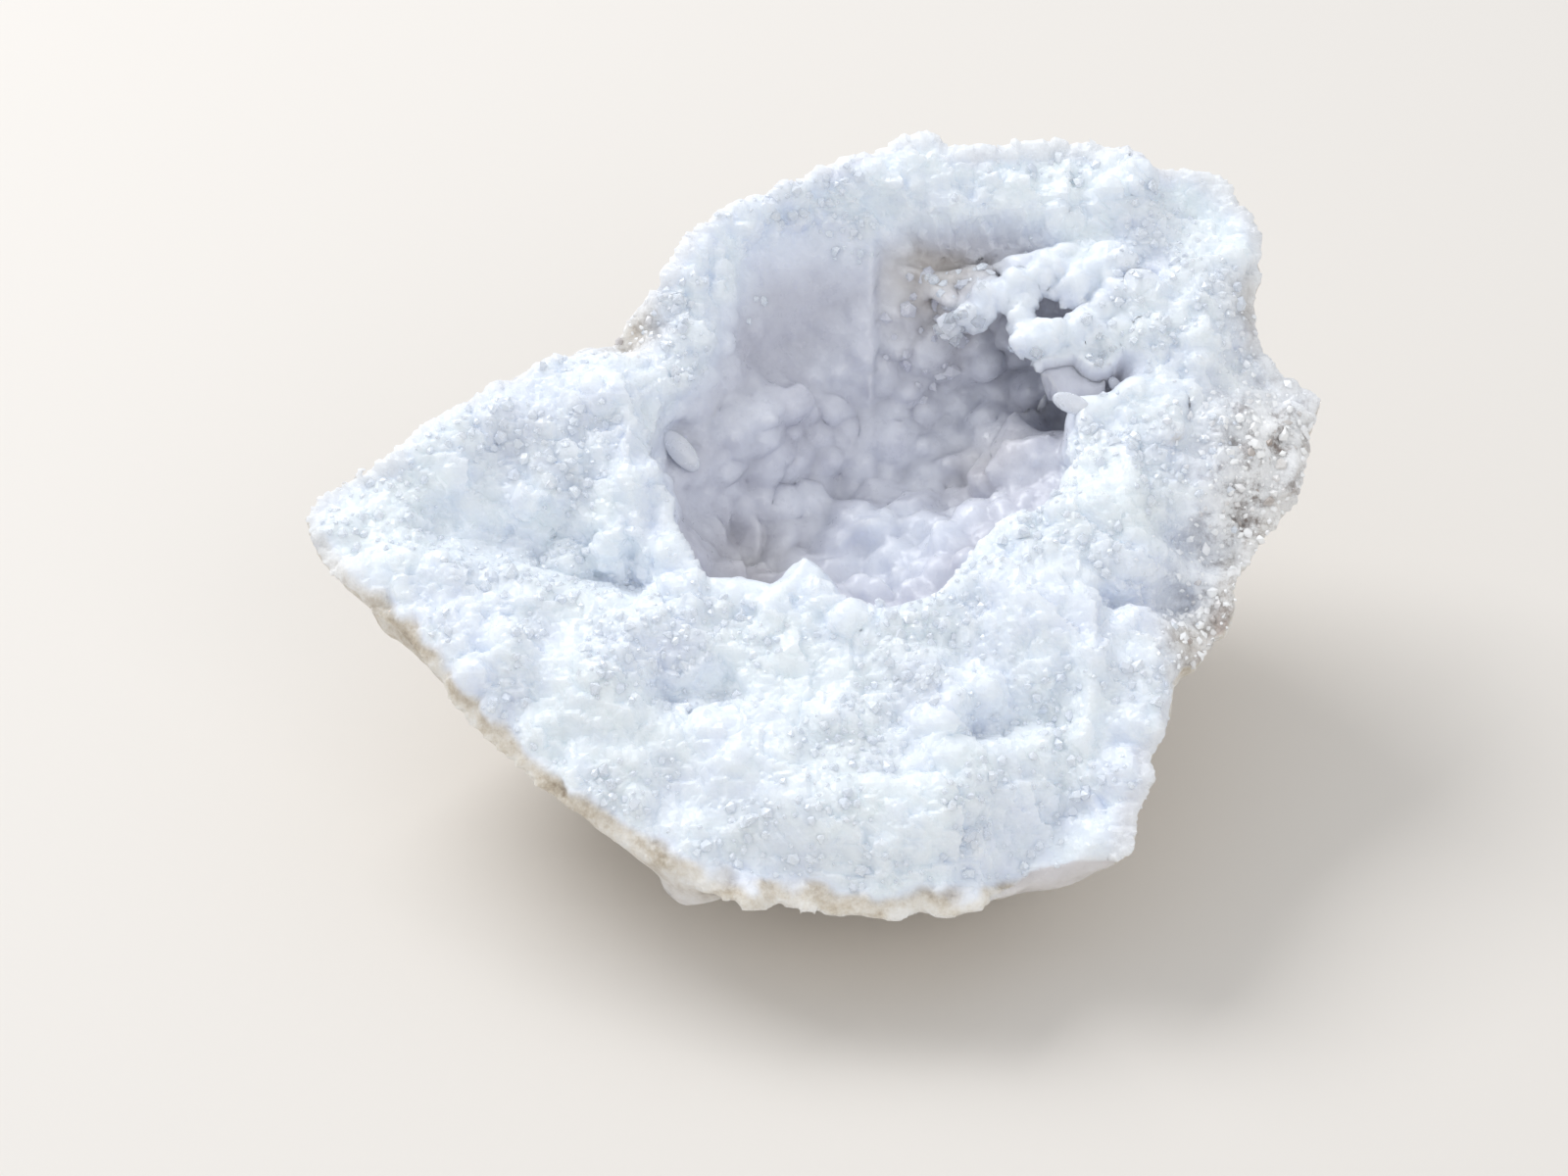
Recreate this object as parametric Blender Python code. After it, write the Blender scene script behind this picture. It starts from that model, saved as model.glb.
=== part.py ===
"""Quartz geode: one half of a broken nodule, with a crystal-lined hollow.

Lengths are in millimetres until the meshes are made. The broken face has its
own directions: u to the right, v up the face, w out of the face.
"""

import math
import random

import bmesh
import bpy
from mathutils import Vector, geometry, noise

MM = 0.001
TAU = 2.0 * math.pi
SEED = 29

# Place of the broken face
FACE_HEIGHT = 16.0
FACE_TILT = math.radians(27.0)
HUB_U = 4.5
HUB_V = 6.0

# Rock shell
RING_POINTS = 380
EDGE_ROUGHNESS = 0.3
RIND_RINGS = 44
RIND_BLEND = 14.0
FACE_RINGS = 46
HOLLOW_RINGS = 26
HOLLOW_DEPTH = 12.4
BASE_CENTRE_X = 4.4
BASE_CENTRE_Y = 5.2
BASE_RING_RADIUS = 2.0
BASE_SINK = 0.3
SHELL_TRIANGLES = 5000
FACE_CRYSTAL_SPACING = 2.3
FACE_CRYSTAL_HEIGHT = 1.0

# Crystal crust
CRUST_GAP = 0.55
ROOM_GAP = 0.65
CRUST_THICKNESS = 0.9
CRUST_SPACING = 2.05
CRUST_TOP = 1.06
CRUST_VOXELS = (0.15, 0.153, 0.156, 0.16, 0.164, 0.17)
CRUST_TRIANGLES = 4900
PRISM_INSET = 0.84

# Outer edge of the broken face: u, v, w
OUTER_EDGE = (
    # left tip
    (-25.2, 1.1, -1.5), (-24.7, 2.3, -1.5), (-23.3, 3.3, -1.3),
    # upper left edge
    (-20.8, 4.1, -0.8), (-19.2, 5.8, -0.8), (-15.5, 8.3, -0.8),
    (-12.2, 10.1, -0.8), (-11.0, 10.3, -0.8),
    # notch
    (-10.1, 10.8, -1.8), (-9.5, 12.2, -1.5),
    # top left shoulder
    (-7.5, 14.0, 0.0), (-6.0, 16.6, 0.0), (-3.5, 18.0, 0.0), (2.4, 20.4, 0.3),
    # top
    (3.7, 21.0, 0.5), (6.0, 21.5, 0.5), (8.5, 20.8, 0.4), (11.0, 21.4, 0.5),
    (14.3, 21.4, 0.5), (16.7, 20.6, 0.3),
    # top right corner
    (17.8, 20.0, -0.2), (19.8, 20.0, 0.0), (21.3, 19.4, 0.0), (22.8, 16.4, -0.3),
    # right edge
    (22.8, 14.7, -0.8), (22.3, 11.5, -1.2), (23.0, 10.3, -2.0),
    # chalky knob
    (24.1, 8.8, -2.0), (25.1, 8.5, -1.8), (25.6, 7.6, -1.9), (24.9, 5.3, -2.2),
    (24.4, 3.4, -2.4), (23.2, 1.4, -2.2),
    # right matrix
    (21.0, -1.8, -2.0), (20.4, -4.4, -2.2), (18.8, -6.8, -1.4), (17.4, -7.8, -0.8),
    # lower right edge
    (17.0, -10.2, 0.0), (16.2, -12.2, 0.0), (15.2, -15.6, 0.0), (14.9, -17.0, -0.4),
    # chipped facet
    (12.4, -17.9, -2.0), (9.2, -18.6, -1.8), (8.0, -19.8, -0.6),
    # front edge
    (5.2, -20.2, -0.6), (-3.4, -19.7, -0.8), (-7.4, -17.4, -1.0),
    (-12.8, -13.6, -1.0), (-15.8, -11.0, -1.0), (-19.4, -6.1, -1.0),
    (-22.6, -3.1, -1.0), (-24.3, -1.5, -1.3),
)

# Lip of the hollow: u, v, w
HOLLOW_LIP = (
    # left
    (-6.2, 8.6, -0.8), (-7.5, 7.4, -0.8), (-8.2, 3.6, -0.8), (-6.8, 1.6, -0.8),
    (-7.4, -0.4, -0.8), (-5.4, -2.2, -0.8), (-4.5, -4.8, -0.8),
    # front
    (-1.7, -3.1, -0.5), (-0.4, -2.0, -0.5), (0.9, -3.6, -0.5), (3.3, -4.9, -0.5),
    (5.5, -4.3, -0.5), (8.4, -0.2, -0.5), (12.3, 1.8, -0.5),
    # right
    (13.1, 3.2, -0.8), (13.2, 6.6, -0.8), (15.6, 7.6, -0.8), (17.5, 9.0, -0.8),
    (15.9, 13.2, -0.8), (15.3, 15.2, -0.8), (13.6, 16.5, -0.8),
    # back
    (8.6, 16.9, -1.0), (3.6, 17.5, -1.0), (-0.4, 17.6, -1.0), (-3.4, 16.2, -1.0),
    (-4.8, 13.6, -1.0), (-5.3, 10.8, -0.9),
)

# Relief of the broken face: start u, v, end u, v, width, height
FACE_RELIEF = (
    # groove between the upper left lobe and the front arm
    (-18.0, 0.4, -12.6, -0.8, 1.5, -1.7), (-12.6, -0.8, -8.6, -2.0, 1.3, -1.9),
    # upper left lobe and its thick inner edge
    (-16.0, 4.2, -10.5, 5.0, 3.0, 0.9), (-9.3, 7.0, -9.0, 2.2, 1.3, 0.7),
    # front arm
    (-20.0, -2.6, -11.0, -8.0, 2.6, 0.8), (-11.0, -8.0, -1.0, -13.0, 4.0, 0.8),
    # swell along the front right
    (5.0, -14.5, 12.5, -8.0, 3.6, 0.9), (9.5, -4.8, 14.6, -0.4, 2.6, 1.0),
    # pockets
    (-7.0, -8.6, -4.6, -8.2, 1.3, -2.2), (7.4, -10.7, 7.6, -10.5, 0.8, -1.2),
    (9.4, -10.4, 11.4, -9.6, 1.0, -1.0),
    # long smooth facet edge on the right
    (13.4, -7.2, 12.8, -11.4, 0.7, 1.0),
    # grooves and steps beside the matrix on the right
    (14.6, -3.6, 18.0, -3.0, 0.9, -1.6), (17.6, 0.2, 21.0, -0.9, 0.9, -1.2),
    (16.0, 2.4, 19.5, 3.6, 2.0, 0.7), (20.2, 6.2, 22.6, 3.8, 1.8, 0.8),
    # right band and back band
    (19.0, 15.0, 19.6, 9.6, 1.8, 1.0), (2.6, 19.2, 16.5, 19.0, 1.5, 0.8),
    (-7.0, 13.0, -3.6, 17.0, 1.2, 0.5),
)

# How far each side wall slopes in (+) or is undercut (-): direction, slope
WALL_SLOPE = (
    (10.0, -0.2), (45.0, -0.1), (90.0, 0.6), (130.0, 0.8), (160.0, 0.5),
    (185.0, -0.15), (230.0, -0.2), (270.0, -0.2), (315.0, 0.0),
)

# How much the rind leans in below the edge, in degrees: direction, lean
RIND_LEAN = (
    (0.0, 16.0), (60.0, 8.0), (110.0, 8.0), (160.0, 14.0), (190.0, 24.0),
    (220.0, 27.0), (270.0, 27.0), (300.0, 26.0), (335.0, 20.0),
)

# Swellings of the rind: u, v, w, radius, height
RIND_LUMPS = (
    (-6.1, -18.4, -3.4, 2.2, 1.5), (-16.5, -7.0, -6.0, 4.0, 0.9),
    (20.5, -4.5, -4.0, 2.0, 0.8), (22.0, 12.0, -9.0, 5.0, 1.0),
    (-12.0, 8.0, -9.0, 5.0, -0.9), (8.0, 18.0, -12.0, 6.0, 0.8),
)

# Lumps of the crust: u, v, radius, height
CRUST_LUMPS = (
    (4.0, 2.2, 2.8, 2.6), (1.4, 4.4, 1.8, 1.0), (7.0, 4.4, 1.8, 1.2),
    (3.7, 10.2, 2.0, 1.5), (9.6, 9.4, 2.2, 1.9), (6.4, 7.4, 1.4, 0.8),
    (-0.2, 5.8, 1.2, 1.0), (-3.6, 5.4, 1.6, 0.9), (12.2, 5.2, 1.8, 1.4),
    (0.6, 9.4, 1.5, 1.0), (13.4, 10.2, 1.5, 0.7),
)

# Fingers of the overhanging ledge: points u, v, w of each
LEDGE_FINGERS = (
    ((17.0, 13.4, -1.2), (14.0, 13.2, -1.2), (11.4, 13.0, -1.5), (7.4, 12.6, -2.0)),
    ((12.6, 13.0, -1.4), (10.9, 10.0, -2.0)),
    ((16.0, 14.8, -1.2), (13.4, 15.8, -1.5), (10.4, 15.6, -2.2)),
    ((17.4, 11.4, -1.2), (14.8, 10.8, -1.6)),
)
LEDGE_STEP = 1.3
LEDGE_RADIUS = 0.95
BORDER_CRYSTALS = 64

# Single large crystals on the lip: u, v, w, lean u, lean v, radius, length
LIP_CRYSTALS = (
    (-0.5, -3.4, -2.6, 0.05, 0.15, 1.5, 3.4), (14.6, 6.4, -3.4, -0.25, -0.1, 1.6, 3.6),
    (-6.9, 7.6, -4.2, 0.4, -0.2, 1.0, 2.6), (-7.2, 2.6, -2.6, 0.5, 0.1, 1.1, 2.6),
    (11.2, 1.8, -3.0, -0.3, 0.5, 1.3, 3.0),
)


def smooth_step(x):
    x = min(1.0, max(0.0, x))
    return x * x * (3.0 - 2.0 * x)


def face_point(u, v, w):
    """World point of the broken face directions."""
    sine, cosine = math.sin(FACE_TILT), math.cos(FACE_TILT)
    return Vector((u, v * cosine - w * sine, FACE_HEIGHT + v * sine + w * cosine))


def face_place(point):
    """Broken face directions of a world point."""
    sine, cosine = math.sin(FACE_TILT), math.cos(FACE_TILT)
    rise = point.z - FACE_HEIGHT
    return Vector((point.x, point.y * cosine + rise * sine, rise * cosine - point.y * sine))


def face_vector(u, v, w):
    return face_point(u, v, w) - face_point(0.0, 0.0, 0.0)


def by_direction(table, angle):
    """Value of a (degrees, value) table at an angle, blended around the circle."""
    degrees = math.degrees(angle) % 360.0
    following = list(table[1:]) + [(table[0][0] + 360.0, table[0][1])]
    for (start, first), (end, second) in zip(table, following):
        for turn in (degrees, degrees + 360.0):
            if start <= turn <= end:
                share = smooth_step((turn - start) / (end - start))
                return first + (second - first) * share
    return table[0][1]


def polar_edge(points):
    """Radius and height of a closed edge at each ring direction around the hub."""
    polar = []
    for u, v, w in points:
        angle = math.atan2(v - HUB_V, u - HUB_U) % TAU
        polar.append((angle, math.hypot(u - HUB_U, v - HUB_V), w))
    polar.sort()
    polar = [(polar[-1][0] - TAU, *polar[-1][1:])] + polar + [(polar[0][0] + TAU, *polar[0][1:])]
    edge = []
    place = 0
    for k in range(RING_POINTS):
        angle = TAU * k / RING_POINTS
        while polar[place + 1][0] < angle:
            place += 1
        a1, r1, w1 = polar[place]
        a2, r2, w2 = polar[place + 1]
        chord = r1 * math.sin(angle - a1) + r2 * math.sin(a2 - angle)
        radius = r1 * r2 * math.sin(a2 - a1) / chord
        edge.append((radius, w1 + (w2 - w1) * (angle - a1) / (a2 - a1)))
    return edge


def segment_distance(u, v, start, end):
    du, dv = end[0] - start[0], end[1] - start[1]
    length = du * du + dv * dv
    along = ((u - start[0]) * du + (v - start[1]) * dv) / length
    along = min(1.0, max(0.0, along))
    return math.hypot(u - start[0] - along * du, v - start[1] - along * dv)


def face_relief(u, v):
    height = 0.0
    for su, sv, eu, ev, width, rise in FACE_RELIEF:
        distance = segment_distance(u, v, (su, sv), (eu, ev)) / width
        height += rise * math.exp(-distance * distance)
    return height


def make_face_crystals(rng):
    """Six-sided points spread over the broken face, kept by grid square."""
    grid = {}
    count = int(60.0 / FACE_CRYSTAL_SPACING)
    for row in range(count):
        for column in range(count):
            u = -30.0 + (column + rng.uniform(0.1, 0.9)) * FACE_CRYSTAL_SPACING
            v = -25.0 + (row + rng.uniform(0.1, 0.9)) * FACE_CRYSTAL_SPACING
            steepness = rng.uniform(0.35, 0.95)
            top = FACE_CRYSTAL_HEIGHT * rng.uniform(0.25, 1.0)
            lean = (rng.uniform(-0.35, 0.35), rng.uniform(-0.35, 0.35))
            grid[(column, row)] = (u, v, top, steepness, rng.uniform(0.0, TAU), lean)
    return grid


def crystal_height(grid, u, v):
    """Height of the highest six-sided point over a place on the broken face."""
    column = int((u + 30.0) / FACE_CRYSTAL_SPACING)
    row = int((v + 25.0) / FACE_CRYSTAL_SPACING)
    best = 0.0
    for i in range(column - 1, column + 2):
        for j in range(row - 1, row + 2):
            if (i, j) not in grid:
                continue
            cu, cv, top, steepness, turn, lean = grid[(i, j)]
            du, dv = u - cu, v - cv
            reach = 0.0
            for side in range(3):
                angle = turn + side * TAU / 6.0
                reach = max(reach, abs(du * math.cos(angle) + dv * math.sin(angle)))
            rise = top - steepness * reach + lean[0] * du + lean[1] * dv
            best = max(best, rise)
    return best


class Hollow:
    """Smooth wall surface of the hollow, from the floor (0) to the lip (1)."""

    def __init__(self, lip):
        self.lip = lip

    def lip_at(self, angle):
        place = (angle % TAU) / TAU * RING_POINTS
        first = int(place) % RING_POINTS
        second = (first + 1) % RING_POINTS
        share = place - int(place)
        r1, w1 = self.lip[first]
        r2, w2 = self.lip[second]
        return r1 + (r2 - r1) * share, w1 + (w2 - w1) * share

    def point(self, angle, height):
        """Face coordinates at a direction and a share of the wall height."""
        radius, w = self.lip_at(angle)
        slope = by_direction(WALL_SLOPE, angle)
        floor = -HOLLOW_DEPTH
        t = 1.0 - height
        if t < 0.0:
            return self.along(angle, radius + t * 0.4, w - t * 14.0)
        r0, r1, r2 = radius, radius * (1.0 - 0.55 * slope), radius * 0.62
        w0, w1, w2 = w, w + (floor - w) * (0.62 - 0.25 * max(0.0, slope)), floor
        a, b, c, d = (1 - t) ** 3, 3 * t * (1 - t) ** 2, 3 * t * t * (1 - t), t ** 3
        return self.along(angle, a * r0 + b * r1 + c * r2, a * w0 + b * w1 + c * w2 + d * floor)

    def along(self, angle, radius, w):
        return Vector((HUB_U + radius * math.cos(angle), HUB_V + radius * math.sin(angle), w))

    def inward(self, angle, height):
        """Unit direction out of the wall into the hollow, in face coordinates."""
        step = 0.02
        if height < 2.0 * step:
            return Vector((0.0, 0.0, 1.0))
        turn = step * HOLLOW_DEPTH / max(0.1, self.lip_at(angle)[0])
        height = min(height, 1.0 - step)
        around = self.point(angle + turn, height) - self.point(angle - turn, height)
        up = self.point(angle, height + step) - self.point(angle, height - step)
        return up.cross(around).normalized()


class Room:
    """Space inside the hollow that keeps the gap to the wall, as a table of radii."""

    turns = 240
    levels = 40

    def __init__(self, hollow):
        self.table = []
        for k in range(self.turns):
            angle = TAU * k / self.turns
            row = []
            for j in range(self.levels + 1):
                level = -HOLLOW_DEPTH * j / self.levels
                low, high = 0.0, 1.0
                for _ in range(12):
                    middle = 0.5 * (low + high)
                    if hollow.point(angle, middle).z < level:
                        low = middle
                    else:
                        high = middle
                place = hollow.point(angle, low)
                row.append(math.hypot(place.x - HUB_U, place.y - HUB_V) - ROOM_GAP)
            self.table.append(row)

    def kept(self, place):
        """The nearest place toward the hub that is inside the room."""
        du, dv = place.x - HUB_U, place.y - HUB_V
        radius = math.hypot(du, dv)
        turn = (math.atan2(dv, du) % TAU) / TAU * self.turns
        level = min(self.levels - 0.001, max(0.0, -place.z / HOLLOW_DEPTH * self.levels))
        first, low = int(turn) % self.turns, int(level)
        a, b = self.table[first], self.table[(first + 1) % self.turns]
        share, rise = turn - int(turn), level - low
        limit = (a[low] * (1 - rise) + a[low + 1] * rise) * (1 - share)
        limit += (b[low] * (1 - rise) + b[low + 1] * rise) * share
        if radius <= limit or radius < 1.0:
            return place
        scale = max(0.5, limit) / radius
        return Vector((HUB_U + du * scale, HUB_V + dv * scale, place.z))


def rind_lump(point):
    """Outward swelling of the rind at a world point."""
    swell = 0.9 * noise.noise(point / 6.0 + Vector((3.1, 0.0, 7.7)))
    swell += 0.35 * noise.noise(point / 2.3 + Vector((9.3, 4.1, 0.0)))
    for u, v, w, radius, height in RIND_LUMPS:
        distance = (point - face_point(u, v, w)).length / radius
        swell += height * math.exp(-distance * distance)
    return swell


def roughen_edge(edge):
    """Small breaks along an edge."""
    rough = []
    for k, (radius, w) in enumerate(edge):
        angle = TAU * k / len(edge)
        place = Vector((radius * math.cos(angle), radius * math.sin(angle), 0.0)) / 1.1
        rough.append((radius + EDGE_ROUGHNESS * noise.noise(place), w))
    return rough


def blended_edge(edge):
    """The edge without its small corners, for the rind below it."""
    reach = round(RIND_BLEND / 360.0 * len(edge))
    blended = []
    for k in range(len(edge)):
        near = [edge[(k + i) % len(edge)] for i in range(-reach, reach + 1)]
        blended.append((sum(r for r, _ in near) / len(near), sum(w for _, w in near) / len(near)))
    return blended


def edge_point(edge, angle):
    radius, w = edge
    return face_point(HUB_U + radius * math.cos(angle), HUB_V + radius * math.sin(angle), w)


def rind_point(share, angle, edge, blended):
    """World point of the rind between the edge (0) and the resting spot (1)."""
    start = edge_point(edge, angle)
    soft = edge_point(blended, angle)
    lean = math.radians(by_direction(RIND_LEAN, angle))
    down = face_vector(-math.cos(angle) * math.sin(lean), -math.sin(angle) * math.sin(lean),
                       -math.cos(lean))
    flat = Vector((math.cos(angle), math.sin(angle), 0.0))
    base = Vector((BASE_CENTRE_X, BASE_CENTRE_Y, -BASE_SINK)) + BASE_RING_RADIUS * flat
    drop = soft.z + BASE_SINK
    reach = math.hypot(soft.x - base.x, soft.y - base.y)
    first = soft + down * (0.55 * drop)
    last = base + flat * (0.55 * reach)
    a, b = (1 - share) ** 3, 3 * share * (1 - share) ** 2
    c, d = 3 * share * share * (1 - share), share ** 3
    return a * start + b * first + c * last + d * base


def build_shell(rng, outer, lip):
    """Rind, broken face and hollow as one closed surface."""
    grid = make_face_crystals(rng)
    hollow = Hollow(lip)
    blended = blended_edge(outer)
    rings = []
    angles = [TAU * k / RING_POINTS for k in range(RING_POINTS)]
    for j in range(RIND_RINGS, 0, -1):
        share = (j / RIND_RINGS) ** 1.15
        ring = []
        for angle, edge, soft in zip(angles, outer, blended):
            point = rind_point(share, angle, edge, soft)
            middle = Vector((BASE_CENTRE_X, BASE_CENTRE_Y, FACE_HEIGHT))
            out = (point - middle).normalized()
            fade = smooth_step(share * 14.0) * (0.25 + 0.75 * smooth_step((1.0 - share) * 4.0))
            ring.append(point + out * rind_lump(point) * fade)
        rings.append(ring)
    for j in range(FACE_RINGS + 1):
        share = j / FACE_RINGS
        ring = []
        for k, angle in enumerate(angles):
            (r_out, w_out), (r_lip, w_lip) = outer[k], lip[k]
            radius = r_out + (r_lip - r_out) * share
            u = HUB_U + radius * math.cos(angle)
            v = HUB_V + radius * math.sin(angle)
            from_edge, from_lip = r_out - radius, radius - r_lip
            room = smooth_step((from_edge + 0.25) / 1.2)
            near_lip = smooth_step(from_lip / 1.4)
            w = w_out + (w_lip - w_out) * share + face_relief(u, v) * room * near_lip
            w += (crystal_height(grid, u, v) - 0.35) * (0.25 + 0.75 * room) * near_lip
            w += 0.5 * noise.noise(Vector((u, v, 3.0)) / 3.6) * room * near_lip
            ring.append(face_point(u, v, w))
        rings.append(ring)
    for j in range(1, HOLLOW_RINGS):
        height = 1.0 - j / HOLLOW_RINGS
        rings.append([face_point(*hollow.point(angle, height)) for angle in angles])
    middle_under = Vector((BASE_CENTRE_X, BASE_CENTRE_Y, -BASE_SINK))
    middle_floor = face_point(HUB_U, HUB_V, -HOLLOW_DEPTH)
    bm = bmesh.new()
    rows = [[bm.verts.new(point * MM) for point in ring] for ring in rings]
    under = bm.verts.new(middle_under * MM)
    floor = bm.verts.new(middle_floor * MM)
    for k in range(RING_POINTS):
        following = (k + 1) % RING_POINTS
        bm.faces.new((under, rows[0][following], rows[0][k]))
        bm.faces.new((floor, rows[-1][k], rows[-1][following]))
        for low, high in zip(rows, rows[1:]):
            bm.faces.new((low[k], low[following], high[following], high[k]))
    return bm


def crust_lump(place):
    """Extra thickness of the crust over a place in face coordinates."""
    rise = 0.35 * noise.noise(place / 2.8 + Vector((5.0, 1.0, 2.0)))
    for u, v, radius, height in CRUST_LUMPS:
        distance = math.hypot(place.x - u, place.y - v) / radius
        depth = smooth_step((-place.z - 2.5) / 4.0)
        rise += height * math.exp(-distance * distance) * depth
    return rise


def smooth_wall(place):
    """1 on the bare sloping wall at the back left of the hollow, 0 elsewhere."""
    across = (place.x + 1.2) / 4.2
    along = (place.y - 14.2) / 3.8
    return math.exp(-(across * across + along * along) ** 2)


def crust_seed_rings(hollow):
    """Wall heights, seed counts and unrolled radii of the rings of crystals."""
    steps = 60
    spread = [TAU * k / steps for k in range(steps)]
    length = 0.0
    for angle in spread:
        previous = hollow.point(angle, 0.0)
        for j in range(1, 31):
            current = hollow.point(angle, CRUST_TOP * j / 30)
            length += (current - previous).length / steps
            previous = current
    count = round(length / (CRUST_SPACING * 0.87))
    rings = [(0.0, 1, 0.0)]
    unrolled = 0.0
    for k in range(1, count + 1):
        height = CRUST_TOP * k / count
        points = [hollow.point(angle, height) for angle in spread]
        around = sum((points[i] - points[i - 1]).length for i in range(steps))
        if k == 1:
            unrolled = length / count
        else:
            unrolled *= math.exp(length / count / (around / TAU))
        rings.append((height, max(6, round(around / CRUST_SPACING)), unrolled))
    return rings


def build_crust(rng, lip):
    """Crust of six-sided points: dual cells of a seed pattern, each one raised."""
    hollow = Hollow(lip)
    rings = crust_seed_rings(hollow)
    seeds = []
    for number, (height, count, unrolled) in enumerate(rings):
        turn = rng.uniform(0.0, TAU)
        for k in range(count):
            loose = 0.0 if number in (0, len(rings) - 1) else 0.2
            angle = turn + (k + rng.uniform(-loose, loose)) * TAU / count
            radius = unrolled * (1.0 + rng.uniform(-loose, loose) / max(1.0, unrolled))
            seeds.append((Vector((radius * math.cos(angle), radius * math.sin(angle))),
                          number == len(rings) - 1))
    found = geometry.delaunay_2d_cdt([seed for seed, _ in seeds], [], [], 0, 1e-6)
    flat, triangles = found[0], found[2]

    def wall_place(spot):
        angle = math.atan2(spot.y, spot.x)
        radius = spot.length
        for (h1, _, r1), (h2, _, r2) in zip(rings, rings[1:]):
            if radius <= r2:
                return angle, h1 + (h2 - h1) * (radius - r1) / (r2 - r1)
        return angle, rings[-1][0]

    def raised(spot, rise):
        angle, height = wall_place(spot)
        return hollow.point(angle, height) + hollow.inward(angle, height) * rise

    bm = bmesh.new()
    around = {}
    fronts = []
    backs = []
    for number, triangle in enumerate(triangles):
        middle = sum((flat[i] for i in triangle), Vector((0.0, 0.0))) / 3.0
        place = raised(middle, 0.0)
        rise = CRUST_GAP + CRUST_THICKNESS + max(-0.3, crust_lump(place))
        fronts.append((middle, raised(middle, rise)))
        backs.append(bm.verts.new(face_point(*raised(middle, CRUST_GAP)) * MM))
        for i in triangle:
            around.setdefault(i, []).append(number)
    front_verts = [bm.verts.new(face_point(*place) * MM) for _, place in fronts]
    edge_use = {}
    for i, numbers in around.items():
        if seeds[i][1]:
            continue
        seed = flat[i]
        numbers.sort(key=lambda n: math.atan2(fronts[n][0].y - seed.y, fronts[n][0].x - seed.x))
        angle, height = wall_place(seed)
        wall = hollow.point(angle, height)
        bare = smooth_wall(wall)
        foot = sum((fronts[n][1] for n in numbers), Vector()) / len(numbers)
        width = sum((fronts[n][1] - foot).length for n in numbers) / len(numbers)
        axis = hollow.inward(angle, height)
        lean = Vector((rng.uniform(-1, 1), rng.uniform(-1, 1), rng.uniform(-1, 1)))
        axis = (axis + Vector((0.0, 0.0, 0.25)) + 0.32 * (1.0 - bare) * lean).normalized()
        prism = rng.uniform(0.15, 0.95) * (1.0 - 0.85 * bare)
        point = width * rng.uniform(0.5, 0.95) * (1.0 - 0.75 * bare)
        top = []
        for n in numbers:
            side = fronts[n][1] - foot
            top.append(bm.verts.new(face_point(*(foot + side * PRISM_INSET + axis * prism)) * MM))
        tip = bm.verts.new(face_point(*(foot + axis * (prism + point))) * MM)
        sides = len(numbers)
        for k in range(sides):
            following = (k + 1) % sides
            a, b = numbers[k], numbers[following]
            bm.faces.new((front_verts[a], front_verts[b], top[following], top[k]))
            bm.faces.new((top[k], top[following], tip))
            edge_use.setdefault(frozenset((a, b)), []).append((a, b))
        bm.faces.new([backs[n] for n in reversed(numbers)])
    for uses in edge_use.values():
        if len(uses) == 1:
            a, b = uses[0]
            bm.faces.new((front_verts[b], front_verts[a], backs[a], backs[b]))
    loose = [vert for vert in bm.verts if not vert.link_faces]
    bmesh.ops.delete(bm, geom=loose, context="VERTS")
    return bm


def hex_crystal(bm, root, direction, radius, length, turn):
    """Six-sided prism with a point at its far end, in face coordinates."""
    direction = direction.normalized()
    side = direction.orthogonal().normalized()
    other = direction.cross(side)
    low, high = [], []
    for k in range(6):
        angle = turn + k * TAU / 6.0
        out = side * math.cos(angle) + other * math.sin(angle)
        low.append(bm.verts.new(face_point(*(root + out * radius * 0.85)) * MM))
        place = root + out * radius + direction * (length - radius)
        high.append(bm.verts.new(face_point(*place) * MM))
    tip = bm.verts.new(face_point(*(root + direction * length)) * MM)
    bm.faces.new(list(reversed(low)))
    for k in range(6):
        following = (k + 1) % 6
        bm.faces.new((low[k], low[following], high[following], high[k]))
        bm.faces.new((high[k], high[following], tip))


def ledge_crystals(rng, hollow):
    """Roots, directions and sizes of the crystals of the ledge and the lip."""
    crystals = []
    for finger in LEDGE_FINGERS:
        for start, end in zip(finger, finger[1:]):
            start, end = Vector(start), Vector(end)
            along = (end - start).normalized()
            count = max(1, round((end - start).length / LEDGE_STEP))
            for k in range(count + 1):
                place = start + (end - start) * k / count
                loose = Vector((rng.uniform(-1, 1), rng.uniform(-1, 1), rng.uniform(-0.4, 1)))
                direction = along * 0.8 + loose * 0.7
                radius = LEDGE_RADIUS * rng.uniform(0.8, 1.2)
                root = place - direction.normalized() * radius
                crystals.append((root, direction, radius, radius * rng.uniform(2.4, 3.2)))
    for k in range(BORDER_CRYSTALS):
        angle = TAU * (k + rng.uniform(-0.3, 0.3)) / BORDER_CRYSTALS
        inset = CRUST_GAP + rng.uniform(0.7, 1.6)
        place = hollow.point(angle, 1.0)
        place.x -= inset * math.cos(angle)
        place.y -= inset * math.sin(angle)
        place.z -= rng.uniform(0.8, 1.8)
        direction = Vector((rng.uniform(-0.7, 0.3) * math.cos(angle) + rng.uniform(-0.4, 0.4),
                            rng.uniform(-0.7, 0.3) * math.sin(angle) + rng.uniform(-0.4, 0.4),
                            1.0))
        radius = rng.uniform(0.55, 0.95)
        crystals.append((place, direction, radius, radius * rng.uniform(2.2, 3.4)))
    for u, v, w, lean_u, lean_v, radius, length in LIP_CRYSTALS:
        crystals.append((Vector((u, v, w)), Vector((lean_u, lean_v, 1.0)), radius, length))
    return crystals


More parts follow.
